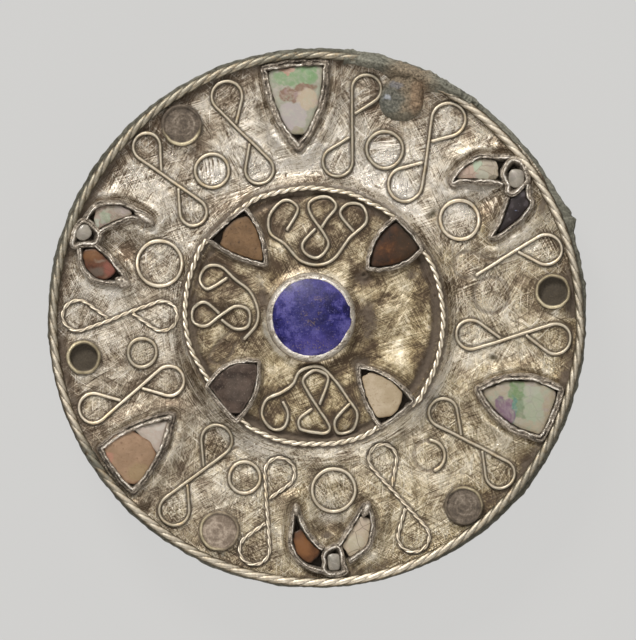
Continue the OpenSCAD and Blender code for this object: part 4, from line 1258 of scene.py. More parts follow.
finishes = {
    "sheet": giltSheet(),
    "rim": wornWire("rim_silver", (0.7, 0.63, 0.52), (0.08, 0.062, 0.042), 0.2, 0.0, 0.05, 0.5),
    "ring": wornWire("boss_silver", (0.72, 0.64, 0.51), (0.055, 0.043, 0.028), 0.3, 0.0),
    "wire": wornWire("wire_silver", (0.74, 0.66, 0.53), (0.1, 0.078, 0.052), 0.35, -0.02, 0.03),
    "wall": wallMetal(),
    "cup": pasteDisc("cup_silver"),
    "back": crusted("back_metal", (), (0.45, 0.44, 0.41)),
    "crust": crusted("crust", [
        (12.6, 31.6, 3.6, 4.6, (0.085, 0.066, 0.045), (0.34, 0.27, 0.19), 0.85),
        (13.9, 30.7, 1.1, 2.2, (0.12, 0.075, 0.048), (0.36, 0.25, 0.16), 0.65),
        (10.2, 30.0, 1.7, 2.2, (0.05, 0.055, 0.05), (0.17, 0.18, 0.16), 0.8),
        (10.9, 32.2, 0.8, 0.5, (0.12, 0.125, 0.15), (0.22, 0.23, 0.27), 0.55),
        # a small bluish-white spot on the crust's knob: a painted highlight
        (9.6, 30.4, 0.5, 0.42, (0.3, 0.33, 0.38), (0.5, 0.53, 0.57), 0.8),
        (11.6, 27.6, 2.4, 0.8, (0.09, 0.085, 0.065), (0.22, 0.205, 0.16), 0.7),
    ]),
    "pin": plainMetal("pin_metal", (0.1, 0.085, 0.06), (0.36, 0.32, 0.24), 0.9, 0.55),
    "blue": blueStone(),
    "tan": pittedStone("tan_stone", (0.12, 0.066, 0.028), (0.197, 0.113, 0.052), (0.036, 0.02, 0.01)),
    "amber": glassStone("amber_glass", (0.013, 0.006, 0.002), (0.056, 0.019, 0.004), (0.16, 0.06, 0.014),
                        [(12.9, 10.2, 2.0, 3.4, (0.032, 0.016, 0.005), 0.8)], 0.36),
    "brown": pittedStone("brown_stone", (0.02, 0.012, 0.009), (0.094, 0.066, 0.053),
                         (0.19, 0.152, 0.13), 0.55, 0.0, 0.24,
                         [(-10.8, -9.8, 1.7, 1.9, (0.15, 0.122, 0.104), 0.25)], 0.25),
    "pale": pittedStone("pale_stone", (0.36, 0.285, 0.185), (0.47, 0.39, 0.285), (0.27, 0.19, 0.11),
                        0.5, 0.1),
    "green": pearlStone("green_pearl", ((0.4, 0.42, 0.36), (0.52, 0.52, 0.45)), [
        (-3.0, 33.3, 3.1, 1.25, (0.25, 0.43, 0.22), 0.95),
        (-1.0, 34.3, 1.3, 1.2, (0.2, 0.42, 0.17), 0.8),
        (-4.3, 34.4, 1.1, 0.55, (0.6, 0.36, 0.29), 0.95),
        (-3.6, 30.9, 1.7, 0.95, (0.3, 0.17, 0.12), 1.0),
        (-1.6, 31.9, 1.6, 0.6, (0.3, 0.18, 0.12), 1.0),
        (-1.2, 30.3, 1.5, 1.5, (0.66, 0.55, 0.43), 0.95),
        (-3.3, 28.0, 2.0, 1.9, (0.56, 0.52, 0.56), 0.95),
        (-2.7, 26.0, 0.9, 0.6, (0.36, 0.35, 0.19), 0.8),
    ], age=(0.62, 0.605, 0.56)),
    "violet": pearlStone("violet_pearl", ((0.6, 0.53, 0.43), (0.68, 0.61, 0.52)), [
        (24.8, -9.9, 1.8, 1.0, (0.64, 0.53, 0.43), 0.9),
        (27.7, -10.2, 1.2, 2.2, (0.24, 0.4, 0.17), 1.0),
        (28.7, -12.4, 1.5, 1.6, (0.25, 0.36, 0.19), 0.95),
        (27.3, -12.9, 0.5, 2.0, (0.11, 0.35, 0.31), 0.95),
        (25.8, -12.2, 1.3, 1.3, (0.3, 0.15, 0.29), 1.0),
        (25.9, -13.5, 1.8, 1.5, (0.3, 0.15, 0.3), 1.0),
        (30.0, -12.2, 1.5, 2.3, (0.58, 0.66, 0.52), 0.95),
        (29.6, -10.0, 1.2, 0.7, (0.66, 0.7, 0.62), 0.8),
        (32.4, -12.6, 1.1, 2.5, (0.66, 0.54, 0.42), 0.95),
        (30.2, -15.2, 2.0, 0.9, (0.68, 0.58, 0.47), 0.95),
    ], 0.4, 0.12, (0.465, 0.47, 0.42)),
    "pink": pittedStone("pink_stone", (0.235, 0.147, 0.084), (0.31, 0.198, 0.121), (0.17, 0.09, 0.05),
                        0.5, 0.1, 0.5, [(-24.6, -21.4, 1.6, 1.2, (0.26, 0.19, 0.09), 0.6),
                                        (-28.8, -19.4, 0.7, 0.8, (0.4, 0.17, 0.12), 0.6)]),
    "white": pearlStone("white_stone", ((0.66, 0.56, 0.49), (0.74, 0.67, 0.61)), [
        (-21.6, -15.2, 0.9, 0.5, (0.78, 0.75, 0.7), 0.9),
    ], 0.15, 0.0, (0.56, 0.54, 0.525)),
    "red": glassStone("red_glass", (0.045, 0.017, 0.009), (0.115, 0.042, 0.022), (0.24, 0.14, 0.095),
                      [(-31.3, 8.7, 1.5, 0.9, (0.19, 0.09, 0.033), 0.7),
                       (-30.4, 6.4, 1.1, 0.6, (0.13, 0.11, 0.09), 0.7),
                       (-28.6, 6.6, 0.7, 1.2, (0.27, 0.095, 0.07), 0.7),
                       (-30.0, 7.9, 0.7, 0.2, (0.3, 0.25, 0.2), 0.4)], 0.34, 0.25),
    "grey": pearlStone("grey_glass", ((0.23, 0.18, 0.14), (0.35, 0.28, 0.23)), [
        (-29.2, 13.9, 0.8, 0.9, (0.3, 0.38, 0.28), 0.8),
        (-26.4, 15.3, 1.5, 0.8, (0.33, 0.29, 0.27), 0.8),
        (-30.6, 13.2, 0.5, 0.6, (0.4, 0.46, 0.4), 0.8),
    ], 0.25),
    "opal": pearlStone("opal_pearl", ((0.42, 0.37, 0.29), (0.5, 0.45, 0.37)), [
        (20.8, 20.2, 1.6, 1.1, (0.5, 0.36, 0.3), 0.95),
        (22.1, 21.0, 0.7, 0.8, (0.42, 0.55, 0.42), 0.9),
        (22.9, 19.6, 0.9, 0.7, (0.47, 0.5, 0.42), 0.8),
        (24.6, 19.3, 0.8, 0.5, (0.2, 0.18, 0.13), 0.9),
    ], 0.15, 0.35),
    "dark": glassStone("dark_glass", (0.01, 0.006, 0.008), (0.018, 0.012, 0.013), (0.11, 0.095, 0.11),
                       [(27.6, 14.9, 0.13, 0.1, (0.14, 0.16, 0.26), 0.8)], 0.3),
    "cracked": pearlStone("cracked_pearl", ((0.46, 0.39, 0.29), (0.6, 0.52, 0.41)), [
        (5.4, -31.2, 1.0, 1.2, (0.52, 0.5, 0.38), 0.6),
        (6.2, -28.4, 0.9, 1.2, (0.5, 0.41, 0.33), 0.7),
    ], 0.1, 0.6),
    "orange": glassStone("orange_glass", (0.045, 0.018, 0.007), (0.09, 0.036, 0.013), (0.16, 0.07, 0.028),
                         [(-1.9, -31.7, 1.2, 1.5, (0.22, 0.097, 0.036), 0.8)], 0.3),
    "bead": pearlStone("white_bead", ((0.27, 0.26, 0.237), (0.4, 0.38, 0.345)), [], 0.1),
}
print("finishes are mixed")


# The face: the field with its cove, and the boss's top

# Where the sheet metal is painted brighter or duller, mostly painted highlights and painted shade over its
# own tone:
# under each amount the middle, half width and height and the lean of each place
lights = {
    1.5: [[9.6, 17.6, 5.4, 2.6, -38]],
    1.05: [[-2.9, 21.6, 3.7, 1.7]],
    0.9: [[1.5, -27.7, 1.5, 0.8]],
    0.85: [[8.8, 22.4, 2.1, 1.2]],
    0.8: [[-18, 10.8, 1.3, 2, 20], [19.2, 15.3, 2.1, 1.6]],
    0.75: [[20, 18, 5.5, 1.5], [10.5, 15.9, 2.3, 0.65, -28], [-20.7, 12, 1.65, 0.85, 5]],
    0.7: [[17.2, 27.4, 1.5, 1.8], [32.9, 0.4, 1.8, 0.7], [18.3, 23.9, 1.05, 1.2], [29.8, 10.1, 1.5, 0.9]],
    0.65: [[15.9, -10.8, 0.8, 2.6, -25]],
    0.6: [[-12.5, 20.5, 5, 3.4, 30], [16.2, -9.5, 1.2, 4.5, -30]],
    0.55: [
        [-8.8, 26.6, 2.2, 5], [-31.7, -4.7, 1.8, 0.95], [-9, -18.1, 3.6, 1.5, -15],
        [-9.5, -21.2, 2.6, 0.9],
    ],
    0.5: [
        [2.6, 25.5, 2, 5], [14, 14.5, 3.6, 1.6, -40], [13.2, 25.6, 1.2, 3], [28, 11.6, 2.6, 1.3, 30],
        [0.5, 23.6, 2.2, 1.4],
    ],
    0.45: [[-22.5, 17, 4, 3.5, 40], [16, 20.5, 3.4, 3], [-28.3, 3.8, 3.6, 1.7, -10]],
    0.4: [[21, -5, 6, 2.6, 10], [-34.2, -3, 1.2, 8], [27, 0, 2, 1.2]],
    0.35: [
        [23.5, 3, 2.4, 2.4], [11.8, -1, 2, 7], [16.8, -24, 1.5, 5], [-14, -23.5, 3.5, 2.6],
        [-31, -6, 2.5, 2.5], [2, -27.5, 1.6, 1.3], [6.8, -26.6, 0.9, 1.3], [7, 26.5, 0.8, 1.2],
        [13, -16, 2.5, 2, 40], [-18.5, -18, 1, 1], [3.5, -27.8, 1.8, 0.8], [19, 0.8, 1, 0.7],
    ],
    0.3: [
        [-20, -2.5, 3, 6], [25.5, -17.5, 4, 2, 20], [24.5, -4, 4, 2], [-31.5, -8, 2.4, 1.4],
        [-28, 2.5, 3.6, 1.6], [7, 19.5, 3.5, 1.2, -10], [-12, 24.5, 2, 1.5], [-13.5, 20, 1.5, 1.5],
        [-7, 20, 4, 1, 10], [6.5, 31.5, 1.2, 2], [12, 18.5, 1.2, 1.5], [29.5, -5, 3, 1],
        [8, -20, 4, 1.5, 15], [15, -21.5, 4, 1], [8, -32.5, 3, 1.2, 15], [-5.5, -32, 1, 1.5],
        [-13.5, -32.5, 1.5, 0.7, -20], [-16, 30, 1.5, 1.5], [8, 19, 1.2, 1.2], [-5, 23, 1, 1.6, 30],
        [16.4, 17.8, 1.2, 1.2], [-13.8, 26.2, 1, 1], [-16.5, -14, 1.2, 1.2], [9.4, -33, 1, 0.7],
        [24.3, 16, 0.8, 1.2], [-27, 0.8, 2, 1.2],
    ],
    0.25: [
        [22.5, 18.5, 1.5, 1.5], [-30, 4.5, 2.5, 1.5], [-26, 0.5, 3, 2], [-28.5, -2.5, 3, 1],
        [-14, -26, 5, 2], [3, -18.5, 4, 1], [22, -21, 3, 1.5], [26, -20, 1.5, 3], [13, -29, 1.5, 2],
        [18, -27.5, 2, 1.5], [-17.5, -13, 1, 1.5], [-25, 11, 3, 0.8, 20],
    ],
    0.2: [[-3, 12.6, 4, 3], [-32, 0.5, 1.5, 1.5]],
    0.05: [[0.5, -21, 8, 2.4]],
    -0.25: [[-13, 6.4, 2.5, 1.2], [-14, -13, 2, 1.5]],
    -0.3: [
        [-15.2, 13.6, 1.6, 1.2], [-14.6, -18, 1.4, 1.6], [-20, -9.4, 3.5, 0.9], [-15, -18, 3, 3],
        [-16, 6.5, 2, 2.5], [-17.5, 0, 0.8, 5], [-15, -2.5, 0.8, 1.5], [-16.5, -7.5, 1, 2],
        [-23, -21, 1, 2], [10.5, 27.5, 1, 0.7], [-23.5, 25.5, 1.4, 1], [-16, -1.5, 1, 2],
        [18.8, 17.4, 1, 0.8], [-20.6, 22.6, 0.9, 0.9], [12, -33, 1.4, 0.8, 20], [-26.5, 14, 2.5, 0.9, 10],
        [-19.5, 23.4, 1.6, 0.8], [22.8, -7, 0.9, 2], [33, -5.6, 1, 1.4], [-3, 19.8, 3, 0.4, 5],
        [-10.5, 31, 1, 2], [2.5, 30.5, 1.4, 4], [22.8, -3, 0.9, 1], [19.4, -5, 0.9, 0.9],
        [-9.3, 28.4, 0.8, 1.6], [0.5, 15.2, 1.2, 0.8], [-2.5, 13.5, 1, 1], [11.5, -26.8, 0.9, 0.8],
        [-19, 29.5, 3, 1, 30],
    ],
    -0.35: [
        [-25, -10.8, 5, 1.4], [-23, 24.5, 2.5, 2], [19.5, -15.3, 1, 1], [12, -1, 2, 5],
        [-10.5, 29, 1.6, 1.2], [18.7, 7.2, 1, 2.2], [1.2, 27, 0.8, 1.2], [-20.5, -27, 2.5, 1],
        [-25, 8.5, 1.4, 1.2], [23.2, 11.5, 0.8, 1.2], [22.5, 24.8, 1.2, 1, -35], [21.5, 8.2, 1.2, 0.8],
    ],
    -0.4: [
        [-24, 14.3, 1.5, 1], [-12.5, -6.3, 1.2, 0.8], [30.5, -18, 1, 0.6, -50], [26, 23.3, 0.7, 1],
        [30.5, 3, 3, 0.7], [-6.2, -5.8, 1.2, 1], [24.2, 10, 1.2, 0.7], [-28.1, 9.5, 0.8, 0.8],
        [-13.4, 31, 1, 0.8],
    ],
    -0.45: [[-18.6, 6, 1.6, 1.4]],
    -0.5: [
        [-7.5, 34, 1, 1.4], [-34, -8, 0.7, 2], [33.5, -8, 0.8, 0.6], [13, 5.8, 0.8, 0.7],
        [18, 9, 0.8, 1.6], [25, 21.5, 2.5, 1, -35], [13.6, -2, 0.9, 4], [-34.4, -3, 0.7, 1.6],
        [31, 16, 0.7, 2, -10], [-22.3, 14, 1.2, 1.2],
    ],
    -0.6: [[-11.4, 28.6, 1.3, 1.15]],
    -0.65: [[18.5, -9.5, 1, 1.55]],
    -0.7: [
        [22.2, 3.3, 1.2, 1.8], [-28, 12, 1.45, 0.8], [-28, -5.2, 1.15, 0.65], [-31.9, -12.2, 1, 0.9],
        [-2, -27, 0.7, 4.6], [2.5, -23.5, 1.6, 0.95],
    ],
    -0.75: [[-5.6, 5.6, 1.1, 1.95], [16, 14, 0.85, 0.9]],
    -0.8: [[-25.7, 7.6, 1.25, 2.15]],
    -0.85: [[30.6, 16.5, 0.6, 1.3]],
    -1.05: [[-17.9, 6.7, 1, 2.35]],
    -1.2: [[22.9, 12.7, 0.7, 1.85]],
}

# Where the sheet is darker, grime and painted shade in hollows and at the feet of walls: amount, middle,
# half width and height, lean
grimeAndShadeSpots = [
    [1, 32.7, 3.7, 3.3, 3.2], [0.9, -21.5, 24.2, 1.6, 1.6], [0.8, -17, 22.8, 1.3, 1.6],
    [0.75, 13.8, 28.4, 3, 1.6], [0.6, 8.2, 30.5, 1.6, 3], [0.7, 31.2, -2.8, 3.4, 1, 75],
    [0.55, 19, 4.3, 2.2, 1.4], [0.5, 23, -24, 2.4, 2], [0.7, -7.4, 3, 1, 4, 10],
    [0.8, 7.2, -0.2, 1.6, 3.4], [1, 31.2, 15.5, 0.7, 2.2, -15], [0.6, 23.2, 12, 0.8, 1.3],
    [0.6, 12.8, 5.8, 1, 0.8], [0.5, -18.2, 6.5, 1.2, 1.8], [0.5, -12.6, -6.2, 1.2, 0.8],
    [1, 1.3, -30.2, 1, 0.6], [0.9, 6.4, 5.6, 1.3, 1.2], [0.9, 6.1, -6.2, 1.5, 1],
]
stainSpots = [[1, 16.0, 14.4, 0.9, 0.45, 40], [1, 24.4, -5.4, 0.42, 0.36], [0.5, 24.8, -5.6, 1.0, 0.3]]
wornSpots = [[0.6, 21.5, 4.0, 4.0, 6.0], [-0.25, -20, 2, 4, 8]]

# Grime and painted shadow against the rim: amount, angle, width
rimGrimeAndShade = [
    [1.1, 155, 16], [0.7, 324, 9], [0.55, 118, 12], [0.8, 343, 11], [0.6, 3, 8], [0.6, 190, 14],
    [0.5, 277, 16], [0.6, 87, 6], [0.5, 103, 5], [0.5, 213, 9],
]


def shadeValues(x, y, about):  # what the sheet's finish needs at each point
    out, bossOut = about["out"], about["bossOut"]
    angle = np.degrees(np.arctan2(y, x)) % 360
    turn = np.radians(angle)
    bezelOut = np.hypot(x - bezelMid[0], y - bezelMid[1])
    outside = ~(about["inField"] | about["inBoss"])
    onBoss = bossOut < face["bossLimit"]
    wires = np.minimum(gapTo(wireTree, x, y) - loops["wire"] / 2, gapTo(cupTree, x, y))
    walls = np.where(bossOut < face["coveTop"], about["bossWallGap"], about["wallGap"]) - 0.3
    ringGap = gapTo(ringTree, x, y) - 0.4
    # painted highlight on the lip round the bezel, stronger on its left side
    shine = 0.9 * bump(bezelOut, 6.5, 0.4) * (0.5 - 0.5 * np.cos(turn) ** 3)
    # painted light on the cove below the boss, which faces away from the key lamp
    shine = shine + 0.5 * bump(bossOut, 19.0, 1.3) * ease(-np.sin(turn), 0.3, 0.75)
    for amount, places in lights.items():
        shine = shine + amount * sum(spot(x, y, *place) for place in places)
    rimDarkness = swells(angle, rimGrimeAndShade) + 0.35
    grime = rimDarkness * ease(out, 34.0 - 0.9 * np.clip(rimDarkness, 0, 1), 35.6) + spots(x, y, grimeAndShadeSpots)
    lowerRight = 0.45 + 0.55 * (np.cos(np.radians(angle - 285)) > 0.1)
    # painted shadow in the groove at the foot of the boss ring, stronger towards the lower right
    grime = grime + 0.9 * bump(bossOut, 16.8, 0.55) * onBoss * lowerRight
    grime = grime + (0.3 + 0.3 * ease(bossOut, 12.5, 16.0)) * onBoss
    grime = grime - 0.3 * spot(x, y, 12.2, -2.0, 2.2, 8.0) * onBoss
    # grime and painted shade in the hollows between the leaves
    for bowl in face["bowls"]:
        middle = polar(bowl, face["bowlOut"])
        grime = grime + 0.5 * spot(x, y, *middle, *face["bowlGrimeAndShade"], bowl)
    # painted highlight along the ridge round each cell of the field
    crest = bump(about["wallGap"], face["ridgeGap"] + 0.1, 0.4) * outside * (bossOut > 18.5)
    gold = 0.44 - 0.008 * y + 0.007 * x + 0.25 * onBoss - 0.2 * shine
    # marks stand out more towards the top as painted light; the listed spots are wear
    worn = np.where(onBoss, 0.7, 0.75 + 0.5 * ease(y, -10, 15)) + spots(x, y, wornSpots)
    floor = insideAny(x, y, loopFloors) * 1.0
    for row, path in zip(circlets["rows"], circletPaths):
        within = insideOf(x, y, path) & (row[4] == 360)
        floor = np.maximum(floor, within * 0.8)
        # the floors inside the circlets are made brighter or duller too, partly painted light
        shine = shine + within * (row[5] - 0.35) * 0.9
        gold = gold - within * (row[5] - 0.4) * 0.8
    upright, level = (insideOf(x, y, circletPaths[k]) * 1.0 for k in (3, 4))
    # painted shadow just inside the boss ring, strongest on the right and lower right and half as strong at
    # the top; the listed spots are stains
    fromRight = (angle + 180) % 360 - 180
    below = np.exp(-(((angle - 292) / 38) ** 4)) + np.exp(-((fromRight / 16) ** 4))
    below = below + 0.5 * np.exp(-(((angle - 90) / 30) ** 4))
    stain = 0.8 * below * bump(ringGap, -0.75, 0.35) * onBoss + spots(x, y, stainSpots)
    return {
        "wireGap": wires, "wallGap": walls, "ringGap": np.abs(ringGap), "printGap": about["imprint"],
        "shine": np.clip(shine, -0.5, 1.3), "grime": np.clip(grime, 0, 1.5) * outside,
        "gold": gold, "floor": floor, "pocket": (~outside) * 1.0, "stain": np.clip(stain, 0, 1),
        "crest": crest, "worn": worn, "boss": (bossOut < 17.6) * 1.0, "upright": upright,
        "level": level, "cove": bump(bossOut, 19.6, 1.7) * (bossOut > 17.9),
    }


def buildSheet(name, sectors, radius, drift, closing=()):  # rings of points round the boss's middle
    turn = full * np.arange(sectors)[None, :] / sectors
    x = (bossMid[0] * drift + radius * np.cos(turn)).reshape(-1)
    y = (bossMid[1] * drift + radius * np.sin(turn)).reshape(-1)
    z, about = sheetHeight(x, y)
    piece = Metalwork()
    faces = gridFaces(len(radius), sectors) + list(closing)
    piece.add(np.column_stack([x, y, z]), faces, **shadeValues(x, y, about))
    piece.build(name, finishes["sheet"], "gilt_sheet", "face_plate")


fieldShare = np.linspace(0, 1, face["fieldRings"])[:, None]
fieldRadius = face["fieldStart"] + (face["fieldEnd"] - face["fieldStart"]) * fieldShare
buildSheet("face_sheet", face["fieldSectors"], fieldRadius, 1 - fieldShare)
bossRadius = np.linspace(face["bossStart"], face["bossEnd"], face["bossRings"])[:, None]
buildSheet("boss_sheet", face["bossSectors"], bossRadius, 1, [list(range(face["bossSectors"]))])
print("the sheet metal is in place")


# Wires lying on the sheet

laid = {
    "seat": 0.46,  # of a wire's thickness, its middle over the sheet
    "fat": 1.05,
    "strandOffset": 0.2375,
    "strand": 0.62,
    "pitch": 2.6,  # length of one twist
}


def onSheet(path, thick):
    z = sheetHeight(path[:, 0], path[:, 1])[0]
    level = np.convolve(np.pad(z, 4, mode="edge"), np.ones(9) / 9, "valid")
    return np.column_stack([path, np.maximum(z, level) + thick * laid["seat"]])


def layWire(piece, path, wire, seed, closed=False, twisted=False):
    line = onSheet(path, wire)
    thick = wire / 2 * laid["fat"] * (1 + 0.05 * noise(path[:, 0], path[:, 1], 0, 1.0, seed))
    if twisted:
        turns = len(path) * wireSpacing / laid["pitch"]
        for strand in twistedPaths(line, wire * laid["strandOffset"], turns, closed):
            points, faces, lift = tubeMesh(strand, thick * laid["strand"], 8, closed)
            # seam here is each strand's underside, which the wire finish darkens as painted shade
            piece.add(points, faces, lift=lift, seam=0.7 * (1 - lift))
    else:
        points, faces, lift = tubeMesh(line, thick, 10, closed)
        piece.add(points, faces, lift=lift, dull=0.3 + 0.3 * float(noise(seed, 0, 0, 1.7)))


for i, path in enumerate(loopPaths):
    piece = Metalwork()
    layWire(piece, path, loops["wire"], seeds["loopThick"] + i, twisted=i + 1 in loops["twisted"])
    piece.build(f"loop_{i + 1}", finishes["wire"], "wire_silver", f"loop_wire_{i + 1}")

for i, path in enumerate(circletPaths):
    piece = Metalwork()
    isWhole = circlets["rows"][i][4] == 360
    layWire(piece, path, circlets["wire"], seeds["circletThick"] + i, closed=isWhole)
    piece.build(f"ring_{i + 1}", finishes["wire"], "wire_silver", f"circlet_{i + 1}")

for name, paths in bossWirePaths.items():
    piece = Metalwork()
    for path in paths:
        layWire(piece, path, bossWire, seeds["bossThick"])
    piece.build(name + "_filigree", finishes["wire"], "wire_silver", name)
print("loops and circlets are laid")


# The twisted wires of the rim and of the boss

def rimWire():
    angle = 360 * np.arange(rim["points"]) / rim["points"]
    shift = 0.05 * noise(angle / 20, 0, 0, 1.0, 8) + swells(angle, rim["shift"])
    shift = shift + 0.17 * ease(angle, 165, 195) * ease(-angle, -350, -325)
    line = np.column_stack([
        (rim["radius"] + shift)[:, None] * turnTo(angle),
        levels["rimMiddle"] - 0.02 + 0.05 * noise(angle / 15, 3, 0, 1.0, 8),
    ])
    piece = Metalwork()
    dull = np.clip(swells(angle, rim["dull"]), 0, 1)
    twistedMesh(piece, line, rim, rim["turns"], True, 14, dull=dull)
    piece.build("rim_twist", finishes["rim"], "rim_silver", "rim_wire")


def bossTwist():
    inCell = insideAny(*ringPath.T, [inset(outline, -0.25) for outline in bossOutlines])
    piece = Metalwork()
    start = int(np.argmax(inCell))
    order = np.roll(np.arange(len(ringPath)), -start)
    stretch = []
    for k in list(order) + [order[0]]:
        if not inCell[k]:
            stretch.append(k)
            continue
        if len(stretch) > bossRing["shortest"]:
            p = ringPath[stretch]
            line = np.column_stack([p, np.full(len(p), levels["boss"] + bossRing["middleUp"])])
            twistedMesh(piece, line, bossRing, bossRing["turns"] * len(p) / len(ringPath))
        stretch = []
    piece.build("boss_ring_twist", finishes["ring"], "boss_silver", "boss_ring")


rimWire()
bossTwist()
print("twisted wires are wound")


# Walls of the settings

def leafTip(piece, x, y, half, broad, lean):
    turn = full * np.arange(40) / 40
    a = turn - math.radians(lean)
    reach = 1 / np.hypot(np.cos(a) / half, np.sin(a) / broad)
    top = levels["field"] + leafCells["height"] + 0.04
    points, faces, edge = stoneMesh(np.array([x, y]), reach, levels["field"], top,
                                    *leafCells["tipShape"], seeds["leafTip"])
    # lift gives the cap's top the walls' painted highlight
    piece.add(points, faces, lift=np.clip(0.98 - edge * 1.3, 0, 1), bent=0.4, inner=0.4, gully=0.0)


def fieldWalls():
    low = levels["field"]
    for i, outline in enumerate(triOutlines):
        piece = Metalwork()
        wallMesh(piece, outline, True, low, triCells, seeds["triWall"] + i, triCells["inward"][i],
                 triCells["nicks"][i])
        piece.build(f"tri_wall_{i + 1}", finishes["wall"], "wall_silver", f"tri_cell_{i + 1}")
    for g, nook in enumerate(nookPaths):
        piece = Metalwork()
        for k in (2 * g, 2 * g + 1):
            wallMesh(piece, leafPaths[k], False, low, leafCells, seeds["leafWall"] + k, leafCells["inward"])
        wallMesh(piece, nook, True, low, nookCells, seeds["nookWall"] + g, nookCells["inward"])
        for group, *tip in leafCells["tips"]:
            if group == g:
                leafTip(piece, *tip)
        piece.build(f"leaf_wall_{g + 1}", finishes["wall"], "wall_silver", f"leaf_cell_{g + 1}")


def bossWalls():
    piece = Metalwork()
    for i, outline in enumerate(bossOutlines):
        wallMesh(piece, outline, True, levels["boss"], bossCells, seeds["bossWall"] + i,
                 nicks=bossCells["nicks"][i])
    piece.build("boss_cell_walls", finishes["wall"], "boss_silver", "boss_ring")


fieldWalls()
bossWalls()
print("walls of the settings are up")


# Stones

slabs = {
    "field": 1.05,
    "boss": 0.95,
    "depth": 1.2,
    "triInset": 0.42,
    "leafInset": 0.36,
    "bossInset": 0.3,
    "brokenTip": 24.9,  # the first tri slab is broken off below this y
    "tri": [("green", "green_pearl"), ("violet", "violet_pearl")],
    # what is left of each leaf's stone lies within a circle: angle, radius, own radius, tilt
    "leaf": [
        ("red", "red_glass", (165.5, 31, 2.6), (0.03, 0.05)),
        ("grey", "grey_glass", (153.9, 31.4, 2.6), (0.02, -0.04)),
        ("opal", "opal_pearl", (42.7, 30, 3.05), (0, 0)),
        ("dark", "dark_glass", (28.5, 30.6, 5.2), (0.02, 0)),
        ("cracked", "cracked_pearl", (280.6, 31, 3.1), (0.03, 0.02)),
        ("orange", "orange_glass", (266.75, 31.75, 2.35), (-0.05, 0.06)),
    ],
    # the same for the boss, then the depth of the pits
    "wedges": [
        ("amber", "amber_glass", (43, 14, 4.6), 0),
        ("tan", "tan_stone", (132.5, 13.6, 4.1), 0.12),
        ("brown", "brown_stone", (218, 14.3, 4.4), 0),
        ("pale", "pale_stone", (309, 13.6, 3.3), 0.06),
    ],
    "pink": [[-29.6, -17.2], [-27.9, -16.2], [-25.7, -15.5], [-24.2, -16.4], [-22.9, -17.3],
             [-22.1, -18.9], [-22.6, -20.1], [-24.3, -22.6], [-25.3, -23.1], [-26.3, -22.8],
             [-28.2, -21], [-29.1, -19.6], [-29.4, -18.5]],
    "white": [[-25.4, -15.3], [-23, -14.7], [-20.6, -14.2], [-21.3, -16.75], [-21.8, -19.1],
              [-22.9, -17.6], [-24.1, -16.6]],
}

beads = {
    "height": 1.2,
    "shape": (0.3, 0.2, 0.04),  # dome, bevel and chips
    # middle, half width and height, lean, how square it is
    "rows": [
        [-32.3134, 11.851, 1.15, 1.1, 20, 2.4],
        [27.6478, 19.3271, 1.1, 1.3, 0, 2.8],
        [2.3951, -33.7671, 0.85, 1.2, 4, 4.0],
    ],
}


def region(outline, circle=None, without=None):  # a test for what is left of a stone
    def within(x, y):
        found = insideOf(x, y, outline)
        if circle:
            middle = polar(*circle[:2])
            found = found & (np.hypot(x - middle[0], y - middle[1]) < circle[2])
        if without is not None:
            found = found & ~insideOf(x, y, without)
        return found

    return within


def addStone(name, node, centre, within, z, tint, slot, **shape):
    reach = reachOf(centre, within)
    reach = np.convolve(np.pad(reach, 1, mode="wrap"), (0.25, 0.5, 0.25), "valid")
    piece = Metalwork()
    points, faces, edge = stoneMesh(centre, reach, z - slabs["depth"], z, **shape)
    piece.add(points, faces, edge=edge)
    piece.build(name, finishes[tint], slot, node)


def triStones(top):
    for i, (tint, slot) in enumerate(slabs["tri"]):
        outline = inset(triOutlines[i], slabs["triInset"])
        if i == 0:
            outline = outline[outline[:, 1] > slabs["brokenTip"]]
        addStone(f"tri_slab_{i + 1}", f"tri_stone_{i + 1}", outline.mean(0), region(outline), top,
                 tint, slot, dome=0.16, bevel=0.12, chip=0.04, seed=seeds["triSlab"] + i)
    for key, node, raised in (("pink", "tri_stone_3", 0.14), ("white", "tri_stone_4", 0.0)):
        outline = anticlockwise(np.array(slabs[key]))
        addStone(key + "_slab", node, outline.mean(0), region(outline), top + raised, key,
                 key + "_stone", dome=0.1, bevel=0.14, chip=0.04, seed=seeds["plainSlab"],
                 pits=0.05)


def leafStones(top):
    for i, (tint, slot, circle, tilt) in enumerate(slabs["leaf"]):
        outline = inset(anticlockwise(leafPaths[i]), slabs["leafInset"])
        within = region(outline, circle, nookPaths[i // 2])
        own = circle[2]
        grid = np.stack(np.meshgrid(np.linspace(-own, own, 60), np.linspace(-own, own, 60)), -1)
        grid = grid.reshape(-1, 2) + polar(*circle[:2])
        kept = grid[within(grid[:, 0], grid[:, 1])]
        addStone(f"leaf_slab_{i + 1}", f"leaf_stone_{i + 1}", kept.mean(0), within, top, tint, slot,
                 dome=0.12, bevel=0.14, chip=0.06, seed=seeds["leafSlab"] + i, tilt=tilt)


def bossStones(top):
    for i, (tint, slot, circle, pits) in enumerate(slabs["wedges"]):
        within = region(inset(bossOutlines[i], slabs["bossInset"]), circle)
        addStone(f"boss_slab_{i + 1}", f"boss_stone_{i + 1}", polar(circle[0], circle[1] - 0.3), within,
                 top, tint, slot, dome=0.15, bevel=0.12, chip=0.05, seed=seeds["bossSlab"] + i,
                 pits=pits)


